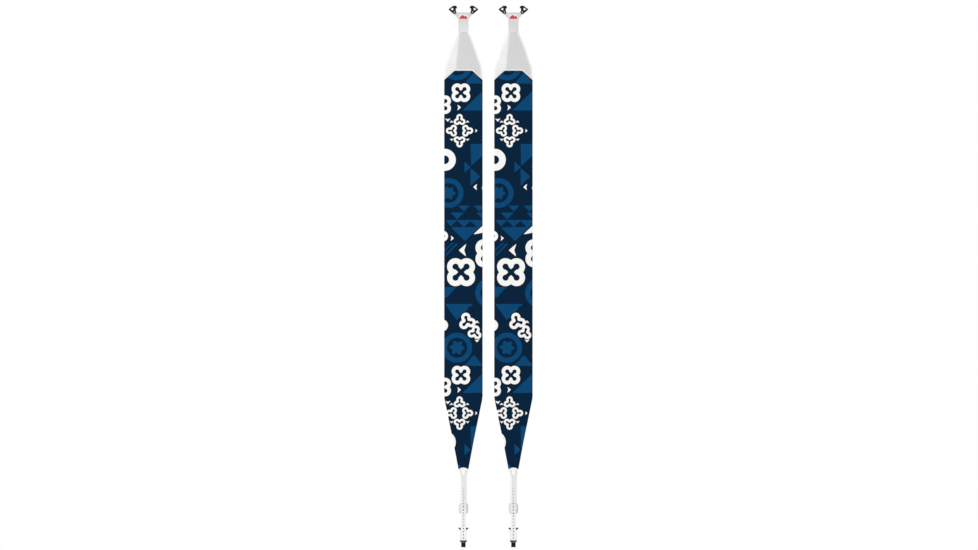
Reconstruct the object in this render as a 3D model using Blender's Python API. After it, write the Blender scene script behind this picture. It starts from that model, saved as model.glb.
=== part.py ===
"""A pair of climbing skins for touring skis, hung side by side by their tip hooks.

Each skin is a long strip of printed nylon plush on a woven backing, with a glue layer
behind that sticks to the ski's base. A moulded tab at the tip carries two swivelling
hooks. At the tail a perforated strap carries a cam buckle and a sliding clip with a hook.

X runs across the pair, Y from the plush (front) to the glue (back), and Z up.
The origin is the point between the two skins, at the height where their hooks hang.
Every length below is in millimetres, measured from a skin's centre line and from the
lowest end of its tail. MM turns them into metres where a mesh is made.
"""

import math

import bmesh
import bpy

MM = 0.001
GAP = 0.3  # the clearance between two pieces that touch

# The pair and the whole skin.
SKIN_PITCH = 169.3  # between the two skins' centre lines
HANG_HEIGHT = 1820.0  # the hooks' mouths above the tail's end
HALF_WIDTH = 65.0
FOLD_HEIGHT = 860.0  # where the skin folds glue to glue
FOLD_AXIS_Y = 6.0  # the fold bulges round this line behind the glue

# Layers through the thickness, as (front, back).
PLUSH = (-1.9, -0.3)
BACKING = (0.0, 0.5)
GLUE = (0.8, 1.3)
PANEL = (-1.0, -0.3)
TRIM = (-1.2, -0.3)
TAB = (-1.7, 1.3)
BADGE = (-2.3, -2.0)
STRAP = (0.0, 1.4)
WEBBING = (1.7, 2.3)

# The plush's two ends.
SHOULDER_Z = 1581.8  # the chamfers start here
PLUSH_TOP_Z = 1614.0
PLUSH_TOP_HALF = 30.0
TAPER = ((65.0, 512.0), (63.6, 500.0), (35.5, 364.0))  # down the tail's side
TAIL_HALF = 16.8
TAIL_CORNER_Z = 264.2
TAIL_ARCH_Z = 271.0
UNDERLAY_RISE = 1.0  # the backing and the glue end this much higher than the plush
GLUE_TOP_Z = 1600.0

# The white tip panel.
TRIM_WIDTH = 5.0
PANEL_TOP_Z = 1744.7
WEDGE = ((65.0, 1614.0), (62.1, 1628.9), (53.7, 1650.2), (43.2, 1684.0), (19.2, PANEL_TOP_Z))
STIFFENER_INSET = 3.4
STIFFENER_TOP_Z = 1714.7

# The moulded tab and its hooks.
PIVOT = (30.6, 1811.8)  # a hook's rivet
TAB_TOP_Z = 1811.3
TAB_FOOT_Z = 1745.0
TAB_NECK_HALF = 17.3
TONGUE_HALF = 12.0
LUG_RADIUS = 5.2
PIVOT_HOLE_RADIUS = 1.8
PIVOT_SHAFT_RADIUS = 1.5
HOOK = (-3.5, 3.1)
HOOK_END_RADIUS = 6.4
HOOK_SLOT_RADIUS = 8.0
RIVET_HEAD_THICKNESS = 0.6
RIVET_HEAD_HALF = (1.7, 3.8)  # half its width and half its length
BADGE_HALF = (14.5, 8.5)
BADGE_Z = 1796.0

# The strap and its holes.
STRAP_HALF = 11.4
STRAP_LOW_HALF = 9.3  # below the buckle
STRAP_STEP_Z = 125.0  # the buckle hides the step between the two widths
STRAP_END_Z = 23.8
STRAP_SHOULDER_Z = 26.4
LEG_OUTER = 14.5
LEG_INNER = 5.0
LEG_TOP_Z = 265.0
LEG_FORK_Z = 258.0
WINDOW_FOOT_Z = 245.0
NECK_Z = 238.6
HOLE_PITCH = 10.5
HOLE_COUNT = 17
LOWEST_HOLE_Z = 32.5
HOLE_RADIUS = 2.5
EYELET_RADIUS = 1.2
WEBBING_HALF = 7.6
WEBBING_SPAN = (29.0, 236.0)

# The cap that clamps the strap to the tail.
CAP_HALF = 16.9
CAP_FOOT_Z = 260.8
CAP_FRONT = (-2.2, -0.3)
CAP_BACK = (1.7, 2.7)
CAP_WALL = 1.6
CAP_FLANGE_Z = 298.0
CAP_RIVET = (9.8, 262.9)
CAP_RIVET_RADIUS = 1.0
CAP_RIVET_HEAD_RADIUS = 2.2
CAP_RIVET_SPAN = (-1.2, 3.8)
CAP_RIVET_HEAD_Y = 3.0

# The cam buckle.
BUCKLE_SPAN_Z = (115.1, 149.6)
BUCKLE_Y = (-1.3, 7.4)
BUCKLE_HALF = 16.6  # at the middle of its height
BUCKLE_END_HALF = 14.2
BUCKLE_LIP_HALF = 9.8  # the lips in front of the strap's edges start here
CHANNEL_HALF = 11.7  # the passage for the strap
CHANNEL_Y = (-0.3, 2.6)
LEVER_HALF = 8.0
LEVER_AXIS = (5.0, 141.0)  # y and z of its pin
LEVER_BOSS_RADIUS = 2.2
LEVER_Y = (4.2, 6.2)
LEVER_WINDOW_Z = (120.5, 146.0)
LEVER_RECESS_Y = 3.9
PIN_RADIUS = 1.0
PIN_HOLE_RADIUS = 1.3
PIN_HALF = 12.0

# The sliding clip and the tail hook.
CLIP_PLATE_Y = (2.6, 4.6)
WING_HALF = 17.2
WING_Z = (56.9, 67.0)
KEEPER_HALF = 12.7
KEEPER_Y = (-1.3, 5.9)
KEEPER_CHANNEL_HALF = 9.6
KEEPER_CHANNEL_Y = (-0.3, 4.9)
KEEPER_Z = (27.6, 56.0)
KEEPER_HOLE_RADIUS = 2.0
KEEPER_HOLE_COUNT = 3
KNUCKLE_AXIS = (5.0, 20.5)  # y and z of the tail hook's pin
KNUCKLE_RADIUS = 2.1
KNUCKLE_HALF = 4.1
TONGUE_FOOT_Z = 22.9
NOTCH_HALF = 4.4
NOTCH_FOOT_Z = 18.0
TAIL_HOOK_Y = (2.9, 5.1)
TAIL_HOOK_TOP_HALF = 11.8
TAIL_HOOK_TOP_Z = 25.2
TAIL_HOOK_EAR_HALF = 9.8  # the ears stand beside the strap, so that the hook can swing
TAIL_HOOK_SADDLE_Z = 21.6
TAIL_HOOK_HALF = 7.5
TAIL_HOOK_FOOT_Z = 0.7
SHELF_TOP_Z = 3.1
LIP_Y = (10.6, 13.0)
LIP_TOP_Z = 9.5
TAIL_PIN_RADIUS = 0.85
TAIL_PIN_HOLE_RADIUS = 1.15
TAIL_PIN_HALF = 10.8

# Colour, roughness and metallic value of each material.
MATERIALS = {
    "printed plush": ((0.006, 0.030, 0.070, 1.0), 0.85, 0.0),
    "woven backing": ((0.30, 0.31, 0.33, 1.0), 0.80, 0.0),
    "skin glue": ((0.16, 0.15, 0.14, 1.0), 0.45, 0.0),
    "coated fabric": ((0.68, 0.68, 0.69, 1.0), 0.60, 0.0),
    "white nylon": ((0.78, 0.78, 0.79, 1.0), 0.40, 0.0),
    "soft TPU": ((0.80, 0.80, 0.81, 1.0), 0.45, 0.0),
    "grey webbing": ((0.35, 0.35, 0.36, 1.0), 0.75, 0.0),
    "black nylon": ((0.012, 0.012, 0.013, 1.0), 0.40, 0.0),
    "badge": ((0.60, 0.03, 0.04, 1.0), 0.40, 0.0),
    "steel": ((0.60, 0.60, 0.62, 1.0), 0.30, 1.0),
}

ROUND_STEPS = 16  # sides of a full circle
FILLET_STEPS = 4  # sides of a rounded corner
BOW_STEPS = 8


def front_plane(u, v, depth):
    """An outline's point in X and Z, at a depth along Y."""
    return (u * MM, depth * MM, v * MM)


def side_plane(u, v, depth):
    """An outline's point in Y and Z, at a depth along X."""
    return (depth * MM, u * MM, v * MM)


def circle(centre, radius, steps=ROUND_STEPS):
    """The points of a circle."""
    angles = [2 * math.pi * i / steps for i in range(steps)]
    return [(centre[0] + radius * math.cos(a), centre[1] + radius * math.sin(a)) for a in angles]


def arc(centre, radius, start, end, steps):
    """The points of an arc from one angle to another, in degrees."""
    angles = [math.radians(start + (end - start) * i / steps) for i in range(steps + 1)]
    return [(centre[0] + radius * math.cos(a), centre[1] + radius * math.sin(a)) for a in angles]


def bow(half, edge, middle):
    """Points from -half to half on a shallow curve that reaches middle halfway."""
    across = [half * (2 * i / BOW_STEPS - 1) for i in range(BOW_STEPS + 1)]
    return [(x, edge + (middle - edge) * (1 - (x / half) ** 2)) for x in across]


def mirrored(right):
    """A closed outline from its right half, which is listed from top to bottom."""
    return list(right) + [(-x, z) for x, z in reversed(right) if x != 0]


def box(low_u, high_u, low_v, high_v):
    """A rectangle's four corners."""
    return [(low_u, low_v), (high_u, low_v), (high_u, high_v), (low_u, high_v)]


def rounded(corners):
    """An outline through corners (u, v, radius), each turned through an arc of its radius."""
    points = []
    for i, (u, v, radius) in enumerate(corners):
        if radius == 0:
            points.append((u, v))
            continue
        last_u, last_v, _ = corners[i - 1]
        next_u, next_v, _ = corners[(i + 1) % len(corners)]
        back = math.atan2(last_v - v, last_u - u)
        ahead = math.atan2(next_v - v, next_u - u)
        turn = math.remainder(ahead - back, 2 * math.pi)
        to_centre = radius / abs(math.sin(turn / 2))
        middle = back + turn / 2
        centre = (u + to_centre * math.cos(middle), v + to_centre * math.sin(middle))
        sweep = math.degrees(math.copysign(math.pi - abs(turn), turn))
        start = math.degrees(back) - math.copysign(90, turn)
        points += arc(centre, radius, start, start - sweep, FILLET_STEPS)
    return points


def prism(plane, outline, low, high, holes=()):
    """A solid of constant section: an outline with holes, from one depth to another."""
    mesh = bmesh.new()
    edges = []
    for loop in (outline, *holes):
        verts = [mesh.verts.new(plane(u, v, low)) for u, v in loop]
        edges += [mesh.edges.new((verts[i - 1], vert)) for i, vert in enumerate(verts)]
    bmesh.ops.triangle_fill(mesh, edges=edges, use_beauty=True)
    grown = bmesh.ops.extrude_face_region(mesh, geom=mesh.faces[:])
    moved = [e for e in grown["geom"] if isinstance(e, bmesh.types.BMVert)]
    step = [b - a for a, b in zip(plane(0, 0, low), plane(0, 0, high))]
    bmesh.ops.translate(mesh, vec=step, verts=moved)
    bmesh.ops.recalc_face_normals(mesh, faces=mesh.faces)
    return mesh


def plate(outline, layer, holes=()):
    """A flat piece that faces the front, as thick as its layer."""
    return prism(front_plane, outline, layer[0], layer[1], holes)


def rod(axis, radius, half):
    """A round bar along X, centred on the skin."""
    return prism(side_plane, circle(axis, radius), -half, half)


def from_bmesh(name, mesh):
    """A linked object that holds the mesh."""
    data = bpy.data.meshes.new(name)
    mesh.to_mesh(data)
    mesh.free()
    thing = bpy.data.objects.new(name, data)
    bpy.context.collection.objects.link(thing)
    return thing


def combine(base, tool, operation):
    """One mesh from two: UNION joins the tool to the base, and DIFFERENCE cuts it out."""
    kept = from_bmesh("kept", base)
    other = from_bmesh("other", tool)
    modifier = kept.modifiers.new("combine", "BOOLEAN")
    modifier.operation = operation
    modifier.object = other
    result = bmesh.new()
    result.from_object(kept, bpy.context.evaluated_depsgraph_get())
    for thing in (kept, other):
        data = thing.data
        bpy.data.objects.remove(thing)
        bpy.data.meshes.remove(data)
    return result


def join(base, *more):
    """The union of several meshes."""
    for mesh in more:
        base = combine(base, mesh, "UNION")
    return base


def cut(base, *cutters):
    """A mesh with several others cut out of it."""
    for mesh in cutters:
        base = combine(base, mesh, "DIFFERENCE")
    return base


def make_material(name):
    """A Principled material from the table."""
    colour, roughness, metallic = MATERIALS[name]
    material = bpy.data.materials.new(name)
    material.use_nodes = True
    shader = material.node_tree.nodes["Principled BSDF"]
    shader.inputs["Base Color"].default_value = colour
    shader.inputs["Roughness"].default_value = roughness
    shader.inputs["Metallic"].default_value = metallic
    material.diffuse_color = colour
    return material


def make_axis(name, parent, x=0.0, y=0.0, z=0.0):
    """An empty on a joint's axis, at a place given in the skin's millimetres."""
    empty = bpy.data.objects.new(name, None)
    empty.empty_display_size = 20 * MM
    bpy.context.collection.objects.link(empty)
    empty.parent = parent
    empty["place"] = (x, y, z)
    origin = parent["place"] if parent else (0.0, 0.0, HANG_HEIGHT)
    empty.location = [(a - b) * MM for a, b in zip((x, y, z), origin)]
    return empty


class Skin:
    """One skin of the pair: its name, its side and its axes."""

    def __init__(self, name, side, materials):
        self.name = name
        self.side = side
        self.materials = materials
        self.upper = make_axis(name, None)
        self.upper.location = (side * SKIN_PITCH / 2 * MM, 0.0, -HANG_HEIGHT * MM)
        self.lower = make_axis(f"{name}_fold_axis", self.upper, y=FOLD_AXIS_Y, z=FOLD_HEIGHT)

    def add(self, name, mesh, material, axis):
        """Make a node from a mesh in the skin's millimetres, with its origin on its axis."""
        bmesh.ops.translate(mesh, vec=[-c * MM for c in axis["place"]], verts=mesh.verts)
        thing = from_bmesh(f"{self.name}_{name}", mesh)
        thing.parent = axis
        thing.data.materials.append(self.materials[material])
        thing.data.shade_smooth()
        thing.data.set_sharp_from_angle(angle=math.radians(35))
        return thing

    def build(self):
        """Make every piece of the skin, from the tip to the tail."""
        self.fabric()
        self.tip_panel()
        self.tip_tab()
        for sign in (-1, 1):
            self.tip_hook(sign)
        self.tail_cap()
        self.strap()
        self.buckle()
        self.clip()
        self.tail_hook()

    def fabric(self):
        """The plush, its woven backing and the glue, each split where the skin folds."""
        seam_low = FOLD_HEIGHT - GAP / 2
        seam_high = FOLD_HEIGHT + GAP / 2
        tops = {
            "plush": [(PLUSH_TOP_HALF, PLUSH_TOP_Z), (HALF_WIDTH, SHOULDER_Z)],
            "backing": [(HALF_WIDTH, PLUSH_TOP_Z)],
            "glue": [(HALF_WIDTH, GLUE_TOP_Z)],
        }
        kinds = {
            "plush": ("printed plush", PLUSH, 0.0),
            "backing": ("woven backing", BACKING, UNDERLAY_RISE),
            "glue": ("skin glue", GLUE, UNDERLAY_RISE),
        }
        for name, (material, layer, rise) in kinds.items():
            upper = mirrored(tops[name] + [(HALF_WIDTH, seam_high)])
            self.add(f"{name}_upper", plate(upper, layer), material, self.upper)
            side = [(HALF_WIDTH, seam_low), *TAPER]
            arch = bow(TAIL_HALF, TAIL_CORNER_Z + rise, TAIL_ARCH_Z + rise)
            lower = side + arch[::-1] + [(-x, z) for x, z in reversed(side)]
            self.add(f"{name}_lower", plate(lower, layer), material, self.lower)

    def shoulder_line(self, offset):
        """The right half of the line that runs above the plush's top edge at an offset."""
        slope = math.atan2(PLUSH_TOP_Z - SHOULDER_Z, HALF_WIDTH - PLUSH_TOP_HALF)
        corner = (PLUSH_TOP_HALF + offset * math.tan(slope / 2), PLUSH_TOP_Z + offset)
        return [corner, (HALF_WIDTH, SHOULDER_Z + offset / math.cos(slope))]

    def tip_panel(self):
        """The white tip panel's two faces, the stiffener between them and the edge trim."""
        low = self.shoulder_line(GAP)
        high = self.shoulder_line(GAP + TRIM_WIDTH)
        left_low = [(-x, z) for x, z in low]
        left_high = [(-x, z) for x, z in reversed(high)]
        band = low + high[::-1] + left_high[::-1] + left_low[::-1]
        self.add("tip_trim", plate(band, TRIM), "white nylon", self.upper)
        hem = self.shoulder_line(2 * GAP + TRIM_WIDTH)
        front = hem + list(WEDGE) + [(-x, z) for x, z in reversed(WEDGE)]
        front += [(-x, z) for x, z in reversed(hem)]
        self.add("tip_panel_front", plate(front, PANEL), "coated fabric", self.upper)
        back = mirrored(list(WEDGE[::-1]) + [(HALF_WIDTH, GLUE_TOP_Z + GAP)])
        self.add("tip_panel_back", plate(back, GLUE), "coated fabric", self.upper)
        core = [(x - STIFFENER_INSET, z) for x, z in WEDGE[1:-1]]
        top_x, top_z = WEDGE[-1]
        side_x, side_z = WEDGE[-2]
        share = (STIFFENER_TOP_Z - side_z) / (top_z - side_z)
        crown = (side_x + (top_x - side_x) * share - STIFFENER_INSET, STIFFENER_TOP_Z)
        foot = (HALF_WIDTH - STIFFENER_INSET, PLUSH_TOP_Z + GAP)
        stiffener = mirrored([crown] + core[::-1] + [foot])
        self.add("tip_stiffener", plate(stiffener, BACKING), "white nylon", self.upper)

    def tip_tab(self):
        """The moulded tab with an arm and a lug for each hook, and its blank badge."""
        lug = arc(PIVOT, LUG_RADIUS, 130, -50, 10)
        right = [(0, TAB_TOP_Z), (24.0, TAB_TOP_Z), *lug, (20.6, 1792.7), (18.2, 1789.0)]
        right += [(TAB_NECK_HALF, 1785.6), (TAB_NECK_HALF, TAB_FOOT_Z)]
        holes = [circle((s * PIVOT[0], PIVOT[1]), PIVOT_HOLE_RADIUS) for s in (-1, 1)]
        tongue_low = STIFFENER_TOP_Z + GAP
        tongue = box(-TONGUE_HALF, TONGUE_HALF, tongue_low, TAB_FOOT_Z + 5)
        tab = join(plate(mirrored(right), TAB, holes), plate(tongue, BACKING))
        self.add("tip_tab", tab, "white nylon", self.upper)
        half_x, half_z = BADGE_HALF
        radius = 2.0
        signs = ((-1, -1), (1, -1), (1, 1), (-1, 1))
        badge = [(s * half_x, BADGE_Z + t * half_z, radius) for s, t in signs]
        self.add("tip_badge", plate(rounded(badge), BADGE), "badge", self.upper)

    def tip_hook(self, sign):
        """One tip hook, forked round the tab's lug, and the rivet that it swivels on."""
        rank = "outer" if sign == self.side else "inner"
        pivot_x, pivot_z = PIVOT
        axis = make_axis(f"{self.name}_{rank}_hook_axis", self.upper, x=sign * pivot_x, z=pivot_z)
        back = [(21.0, 1826.6, 1.2), (24.2, 1834.0, 3.0), (34.4, 1834.0, 4.0), (51.4, 1821.6, 1.8)]
        heel = [(x, z, 0) for x, z in arc(PIVOT, HOOK_END_RADIUS, -45, -170, 8)]
        mouth = [(23.9, 1814.4, 0), (25.6, 1816.0, 0), (25.6, 1825.0, 1.2), (22.4, 1825.0, 0)]
        outline = rounded(back + heel + mouth)
        window = rounded([(34.2, 1827.2, 0.8), (43.8, 1822.4, 0.8), (35.0, 1817.8, 0.8)])
        hole = circle(PIVOT, PIVOT_HOLE_RADIUS)
        loops = [[(sign * x, z) for x, z in loop] for loop in (outline, window, hole)]
        slot = (TAB[0] - GAP, TAB[1] + GAP)
        disc = plate(circle((sign * pivot_x, pivot_z), HOOK_SLOT_RADIUS), slot)
        hook = cut(plate(loops[0], HOOK, loops[1:]), disc)
        self.add(f"{rank}_tip_hook", hook, "black nylon", axis)
        half_w, half_l = RIVET_HEAD_HALF
        top = arc((sign * pivot_x, pivot_z + half_l - half_w), half_w, 0, 180, 6)
        foot = arc((sign * pivot_x, pivot_z - half_l + half_w), half_w, 180, 360, 6)
        front = (HOOK[0] - GAP - RIVET_HEAD_THICKNESS, HOOK[0] - GAP)
        back = (HOOK[1] + GAP, HOOK[1] + GAP + RIVET_HEAD_THICKNESS)
        core = circle((sign * pivot_x, pivot_z), PIVOT_SHAFT_RADIUS)
        shaft = plate(core, (front[0] + GAP, back[1] - GAP))
        rivet = join(shaft, plate(top + foot, front), plate(top + foot, back))
        self.add(f"{rank}_hook_rivet", rivet, "steel", axis)

    def tail_cap(self):
        """The cap that clamps the strap's two legs to the tail, and its two rivets."""
        arch = bow(CAP_HALF, TAIL_CORNER_Z - GAP, TAIL_ARCH_Z - GAP)
        front = plate([(-CAP_HALF, CAP_FOOT_Z), *arch, (CAP_HALF, CAP_FOOT_Z)], CAP_FRONT)
        back = plate(box(-CAP_HALF, CAP_HALF, CAP_FOOT_Z, CAP_FLANGE_Z), CAP_BACK)
        wall_y = (CAP_FRONT[0] + GAP, CAP_BACK[1] - GAP)
        wall_top = TAIL_CORNER_Z - 2 * GAP
        inner = CAP_HALF - CAP_WALL
        edge = CAP_HALF - GAP
        walls = []
        rivet_holes = []
        for sign in (-1, 1):
            low, high = sorted((sign * inner, sign * edge))
            walls.append(plate(box(low, high, CAP_FOOT_Z + GAP, wall_top), wall_y))
            place = (sign * CAP_RIVET[0], CAP_RIVET[1])
            depth = (CAP_RIVET_SPAN[0] - GAP, CAP_BACK[1] + GAP)
            rivet_holes.append(plate(circle(place, CAP_RIVET_RADIUS + GAP), depth))
            shaft = plate(circle(place, CAP_RIVET_RADIUS), CAP_RIVET_SPAN)
            head = plate(circle(place, CAP_RIVET_HEAD_RADIUS), (CAP_RIVET_HEAD_Y, CAP_RIVET_SPAN[1]))
            side = "outer" if sign == self.side else "inner"
            self.add(f"{side}_cap_rivet", join(shaft, head), "steel", self.lower)
        cap = cut(join(front, *walls, back), *rivet_holes)
        self.add("tail_cap", cap, "white nylon", self.lower)

    def strap(self):
        """The perforated strap with its forked top, and the webbing bonded behind it."""
        window = [(LEG_INNER, LEG_TOP_Z), (LEG_INNER, LEG_FORK_Z), (2.6, 247.6), (0, WINDOW_FOOT_Z)]
        leg = [(LEG_OUTER, LEG_TOP_Z), (LEG_OUTER, LEG_FORK_Z), (STRAP_HALF, NECK_Z)]
        leg += [(STRAP_HALF, STRAP_STEP_Z), (STRAP_LOW_HALF, STRAP_STEP_Z)]
        end = bow(STRAP_LOW_HALF, STRAP_SHOULDER_Z, STRAP_END_Z)[::-1]
        right = leg + end + [(-x, z) for x, z in reversed(leg)]
        outline = window[::-1] + right + [(-x, z) for x, z in window[:-1]]
        rows = [LOWEST_HOLE_Z + HOLE_PITCH * i for i in range(HOLE_COUNT)]
        holes = [circle((0, z), HOLE_RADIUS, 10) for z in rows]
        holes += [circle((s * CAP_RIVET[0], CAP_RIVET[1]), CAP_RIVET_RADIUS + GAP) for s in (-1, 1)]
        self.add("tail_strap", plate(outline, STRAP, holes), "soft TPU", self.lower)
        eyelets = [circle((0, z), EYELET_RADIUS, 6) for z in rows]
        tape = box(-WEBBING_HALF, WEBBING_HALF, *WEBBING_SPAN)
        self.add("strap_webbing", plate(tape, WEBBING, eyelets), "grey webbing", self.lower)

    def buckle(self):
        """The cam buckle: its frame round the strap, its lever behind, and the lever's pin."""
        low, high = BUCKLE_SPAN_Z
        middle = (low + high) / 2
        bulge = BUCKLE_HALF - BUCKLE_END_HALF
        heights = [high + (low - high) * i / BOW_STEPS for i in range(BOW_STEPS + 1)]
        half_height = (high - low) / 2
        right = [(BUCKLE_HALF - bulge * ((z - middle) / half_height) ** 2, z) for z in heights]
        past = 5.0
        behind = BUCKLE_Y[1] + past
        window_low, window_high = LEVER_WINDOW_Z
        lever_room = LEVER_HALF + GAP
        lever_y, lever_z = LEVER_AXIS
        frame = cut(
            plate(mirrored(right), BUCKLE_Y),
            plate(box(-CHANNEL_HALF, CHANNEL_HALF, low - past, high + past), CHANNEL_Y),
            plate(box(-BUCKLE_LIP_HALF, BUCKLE_LIP_HALF, low - past, high + past), (-past, 0.0)),
            plate(box(-lever_room, lever_room, window_low, window_high), (CHANNEL_Y[1] - 1, behind)),
            plate(box(-lever_room, lever_room, low - past, window_low + 1), (LEVER_RECESS_Y, behind)),
            rod(LEVER_AXIS, PIN_HOLE_RADIUS, PIN_HALF + GAP),
        )
        self.add("buckle_frame", frame, "white nylon", self.lower)
        axis = make_axis(f"{self.name}_lever_axis", self.lower, y=lever_y, z=lever_z)
        boss = arc(LEVER_AXIS, LEVER_BOSS_RADIUS, -57, 248, 12)
        face_y, back_y = LEVER_Y
        tooth = [(face_y, 137.6), (2.7, 136.4), (2.7, 135.2), (face_y, 133.2)]
        thumb = [(face_y, 113.2), (4.8, 112.6), (7.8, 112.6), (8.2, 113.6), (back_y, 119.0)]
        lever = prism(
            side_plane,
            boss + tooth + thumb,
            -LEVER_HALF,
            LEVER_HALF,
            [circle(LEVER_AXIS, PIN_HOLE_RADIUS)],
        )
        self.add("buckle_lever", lever, "white nylon", axis)
        self.add("buckle_pin", rod(LEVER_AXIS, PIN_RADIUS, PIN_HALF), "steel", self.lower)

    def clip(self):
        """The clip that slides on the strap: its winged plate and the keeper round both."""
        self.clip_axis = make_axis(f"{self.name}_clip_axis", self.lower, z=WING_Z[0])
        wing_low, wing_high = WING_Z
        right = [(8.0, wing_high - 2.5), (10.0, wing_high), (WING_HALF, wing_high)]
        right += [(16.6, wing_high - 2.4), (9.4, wing_low), (9.0, 56.3), (9.0, TONGUE_FOOT_Z)]
        right += [(KNUCKLE_HALF, TONGUE_FOOT_Z), (KNUCKLE_HALF, KNUCKLE_AXIS[1])]
        blade = plate(mirrored(right), CLIP_PLATE_Y)
        knuckle = rod(KNUCKLE_AXIS, KNUCKLE_RADIUS, KNUCKLE_HALF)
        bore = rod(KNUCKLE_AXIS, TAIL_PIN_HOLE_RADIUS, KNUCKLE_HALF + 1)
        self.add("clip_plate", cut(join(blade, knuckle), bore), "black nylon", self.clip_axis)
        low, high = KEEPER_Z
        radius = 1.5
        shell = [(-KEEPER_HALF, low, radius), (KEEPER_HALF, low, radius)]
        shell += [(KEEPER_HALF, high, radius), (-KEEPER_HALF, high, radius)]
        half = KEEPER_CHANNEL_HALF
        channel = plate(box(-half, half, low - 1, high + 1), KEEPER_CHANNEL_Y)
        keeper = cut(plate(rounded(shell), KEEPER_Y), channel)
        for i in range(KEEPER_HOLE_COUNT):
            place = (0, LOWEST_HOLE_Z + HOLE_PITCH * i)
            front = (KEEPER_Y[0] - 1, KEEPER_CHANNEL_Y[0] + 1)
            keeper = cut(keeper, plate(circle(place, KEEPER_HOLE_RADIUS, 10), front))
        self.add("clip_keeper", keeper, "white nylon", self.clip_axis)
        pin = rod(KNUCKLE_AXIS, TAIL_PIN_RADIUS, TAIL_PIN_HALF)
        self.add("tail_hook_pin", pin, "steel", self.clip_axis)

    def tail_hook(self):
        """The hook that swings on the clip and catches the ski's tail."""
        pin_y, pin_z = KNUCKLE_AXIS
        axis = make_axis(f"{self.name}_tail_hook_axis", self.clip_axis, y=pin_y, z=pin_z)
        right = [(TAIL_HOOK_EAR_HALF, TAIL_HOOK_SADDLE_Z), (TAIL_HOOK_EAR_HALF, TAIL_HOOK_TOP_Z - 0.5)]
        right += [(TAIL_HOOK_TOP_HALF, TAIL_HOOK_TOP_Z), (11.0, 20.5)]
        right += [(TAIL_HOOK_HALF, 17.5), (TAIL_HOOK_HALF, TAIL_HOOK_FOOT_Z + 2)]
        face = plate(mirrored(right), TAIL_HOOK_Y)
        face_y, back_y = TAIL_HOOK_Y
        lip_y, end_y = LIP_Y
        jay = [(face_y, 14.8, 0), (face_y, TAIL_HOOK_FOOT_Z, 1.4), (end_y, TAIL_HOOK_FOOT_Z, 2.4)]
        jay += [(end_y, LIP_TOP_Z - 0.6, 0), (lip_y, LIP_TOP_Z, 0), (lip_y, SHELF_TOP_Z, 1.0)]
        jay += [(back_y, SHELF_TOP_Z, 1.0), (back_y, 14.8, 0)]
        claw = prism(side_plane, rounded(jay), -TAIL_HOOK_HALF, TAIL_HOOK_HALF)
        barrel = rod(KNUCKLE_AXIS, KNUCKLE_RADIUS, TAIL_PIN_HALF + 0.5)
        past = 3.0
        notch_y = (TAIL_HOOK_Y[0] - past, TAIL_HOOK_Y[1] + past)
        notch = plate(box(-NOTCH_HALF, NOTCH_HALF, NOTCH_FOOT_Z, TAIL_HOOK_TOP_Z + 1), notch_y)
        bore = rod(KNUCKLE_AXIS, TAIL_PIN_HOLE_RADIUS, TAIL_PIN_HALF + GAP)
        nick = plate([(-2.2, 0.2), (2.2, 0.2), (0, 1.7)], (0.0, end_y + 1))
        hook = cut(join(claw, face, barrel), notch, bore, nick)
        self.add("tail_hook", hook, "black nylon", axis)


def main():
    """Clear the scene and build both skins."""
    for thing in list(bpy.data.objects):
        bpy.data.objects.remove(thing)
    materials = {name: make_material(name) for name in MATERIALS}
    for name, side in (("left", -1), ("right", 1)):
        Skin(name, side, materials).build()


main()
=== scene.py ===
"""A pair of climbing skins for touring skis, hung side by side by their tip hooks.

Each sub-assembly of a skin is a class that holds its sizes and builds and dresses its
pieces. Lengths are in millimetres in a skin's own coordinates: x from its centre line,
y from the plush at the front to the glue behind, and z from the lowest end of its tail.
"""

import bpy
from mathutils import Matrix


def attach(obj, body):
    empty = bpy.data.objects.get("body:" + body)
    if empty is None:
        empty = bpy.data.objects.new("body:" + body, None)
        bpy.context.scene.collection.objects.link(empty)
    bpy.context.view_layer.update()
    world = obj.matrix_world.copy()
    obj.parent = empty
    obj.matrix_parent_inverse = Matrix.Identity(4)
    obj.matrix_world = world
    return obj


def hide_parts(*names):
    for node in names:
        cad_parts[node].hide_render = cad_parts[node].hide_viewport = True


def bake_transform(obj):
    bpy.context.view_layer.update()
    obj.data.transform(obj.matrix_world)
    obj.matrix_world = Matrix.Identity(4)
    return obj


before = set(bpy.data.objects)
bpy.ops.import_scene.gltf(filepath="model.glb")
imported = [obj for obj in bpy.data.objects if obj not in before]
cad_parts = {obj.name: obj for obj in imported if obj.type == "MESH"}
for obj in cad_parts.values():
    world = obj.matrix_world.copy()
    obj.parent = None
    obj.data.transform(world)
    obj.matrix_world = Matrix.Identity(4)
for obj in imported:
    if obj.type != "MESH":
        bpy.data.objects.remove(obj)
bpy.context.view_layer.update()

import logging
import math
from collections.abc import Callable, Sequence
from dataclasses import dataclass
from enum import Enum

import bmesh
import bpy
import numpy as np
from mathutils import Vector

LOG = logging.getLogger("climbing_skins")

MM = 0.001
SKIN_PITCH = 169.3
HANG_HEIGHT = 1820.0
GAP = 0.3
FOLD_Z = 860.0
FOLD_REACH = 10.0  # a height either side of the fold, from which fit makes two points that nothing uses
PURE_WHITE = "FFFFFF"

# The constants of the sRGB curve: its straight foot, then its power law.
SRGB_FOOT = 0.04045
SRGB_SLOPE = 12.92
SRGB_OFFSET = 0.055
SRGB_POWER = 2.4

Point = tuple[float, float]
Colour = tuple[float, float, float, float]
Place = tuple[float, float, float]
Tree = bpy.types.NodeTree
Node = bpy.types.Node
Thing = bpy.types.Object


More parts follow.
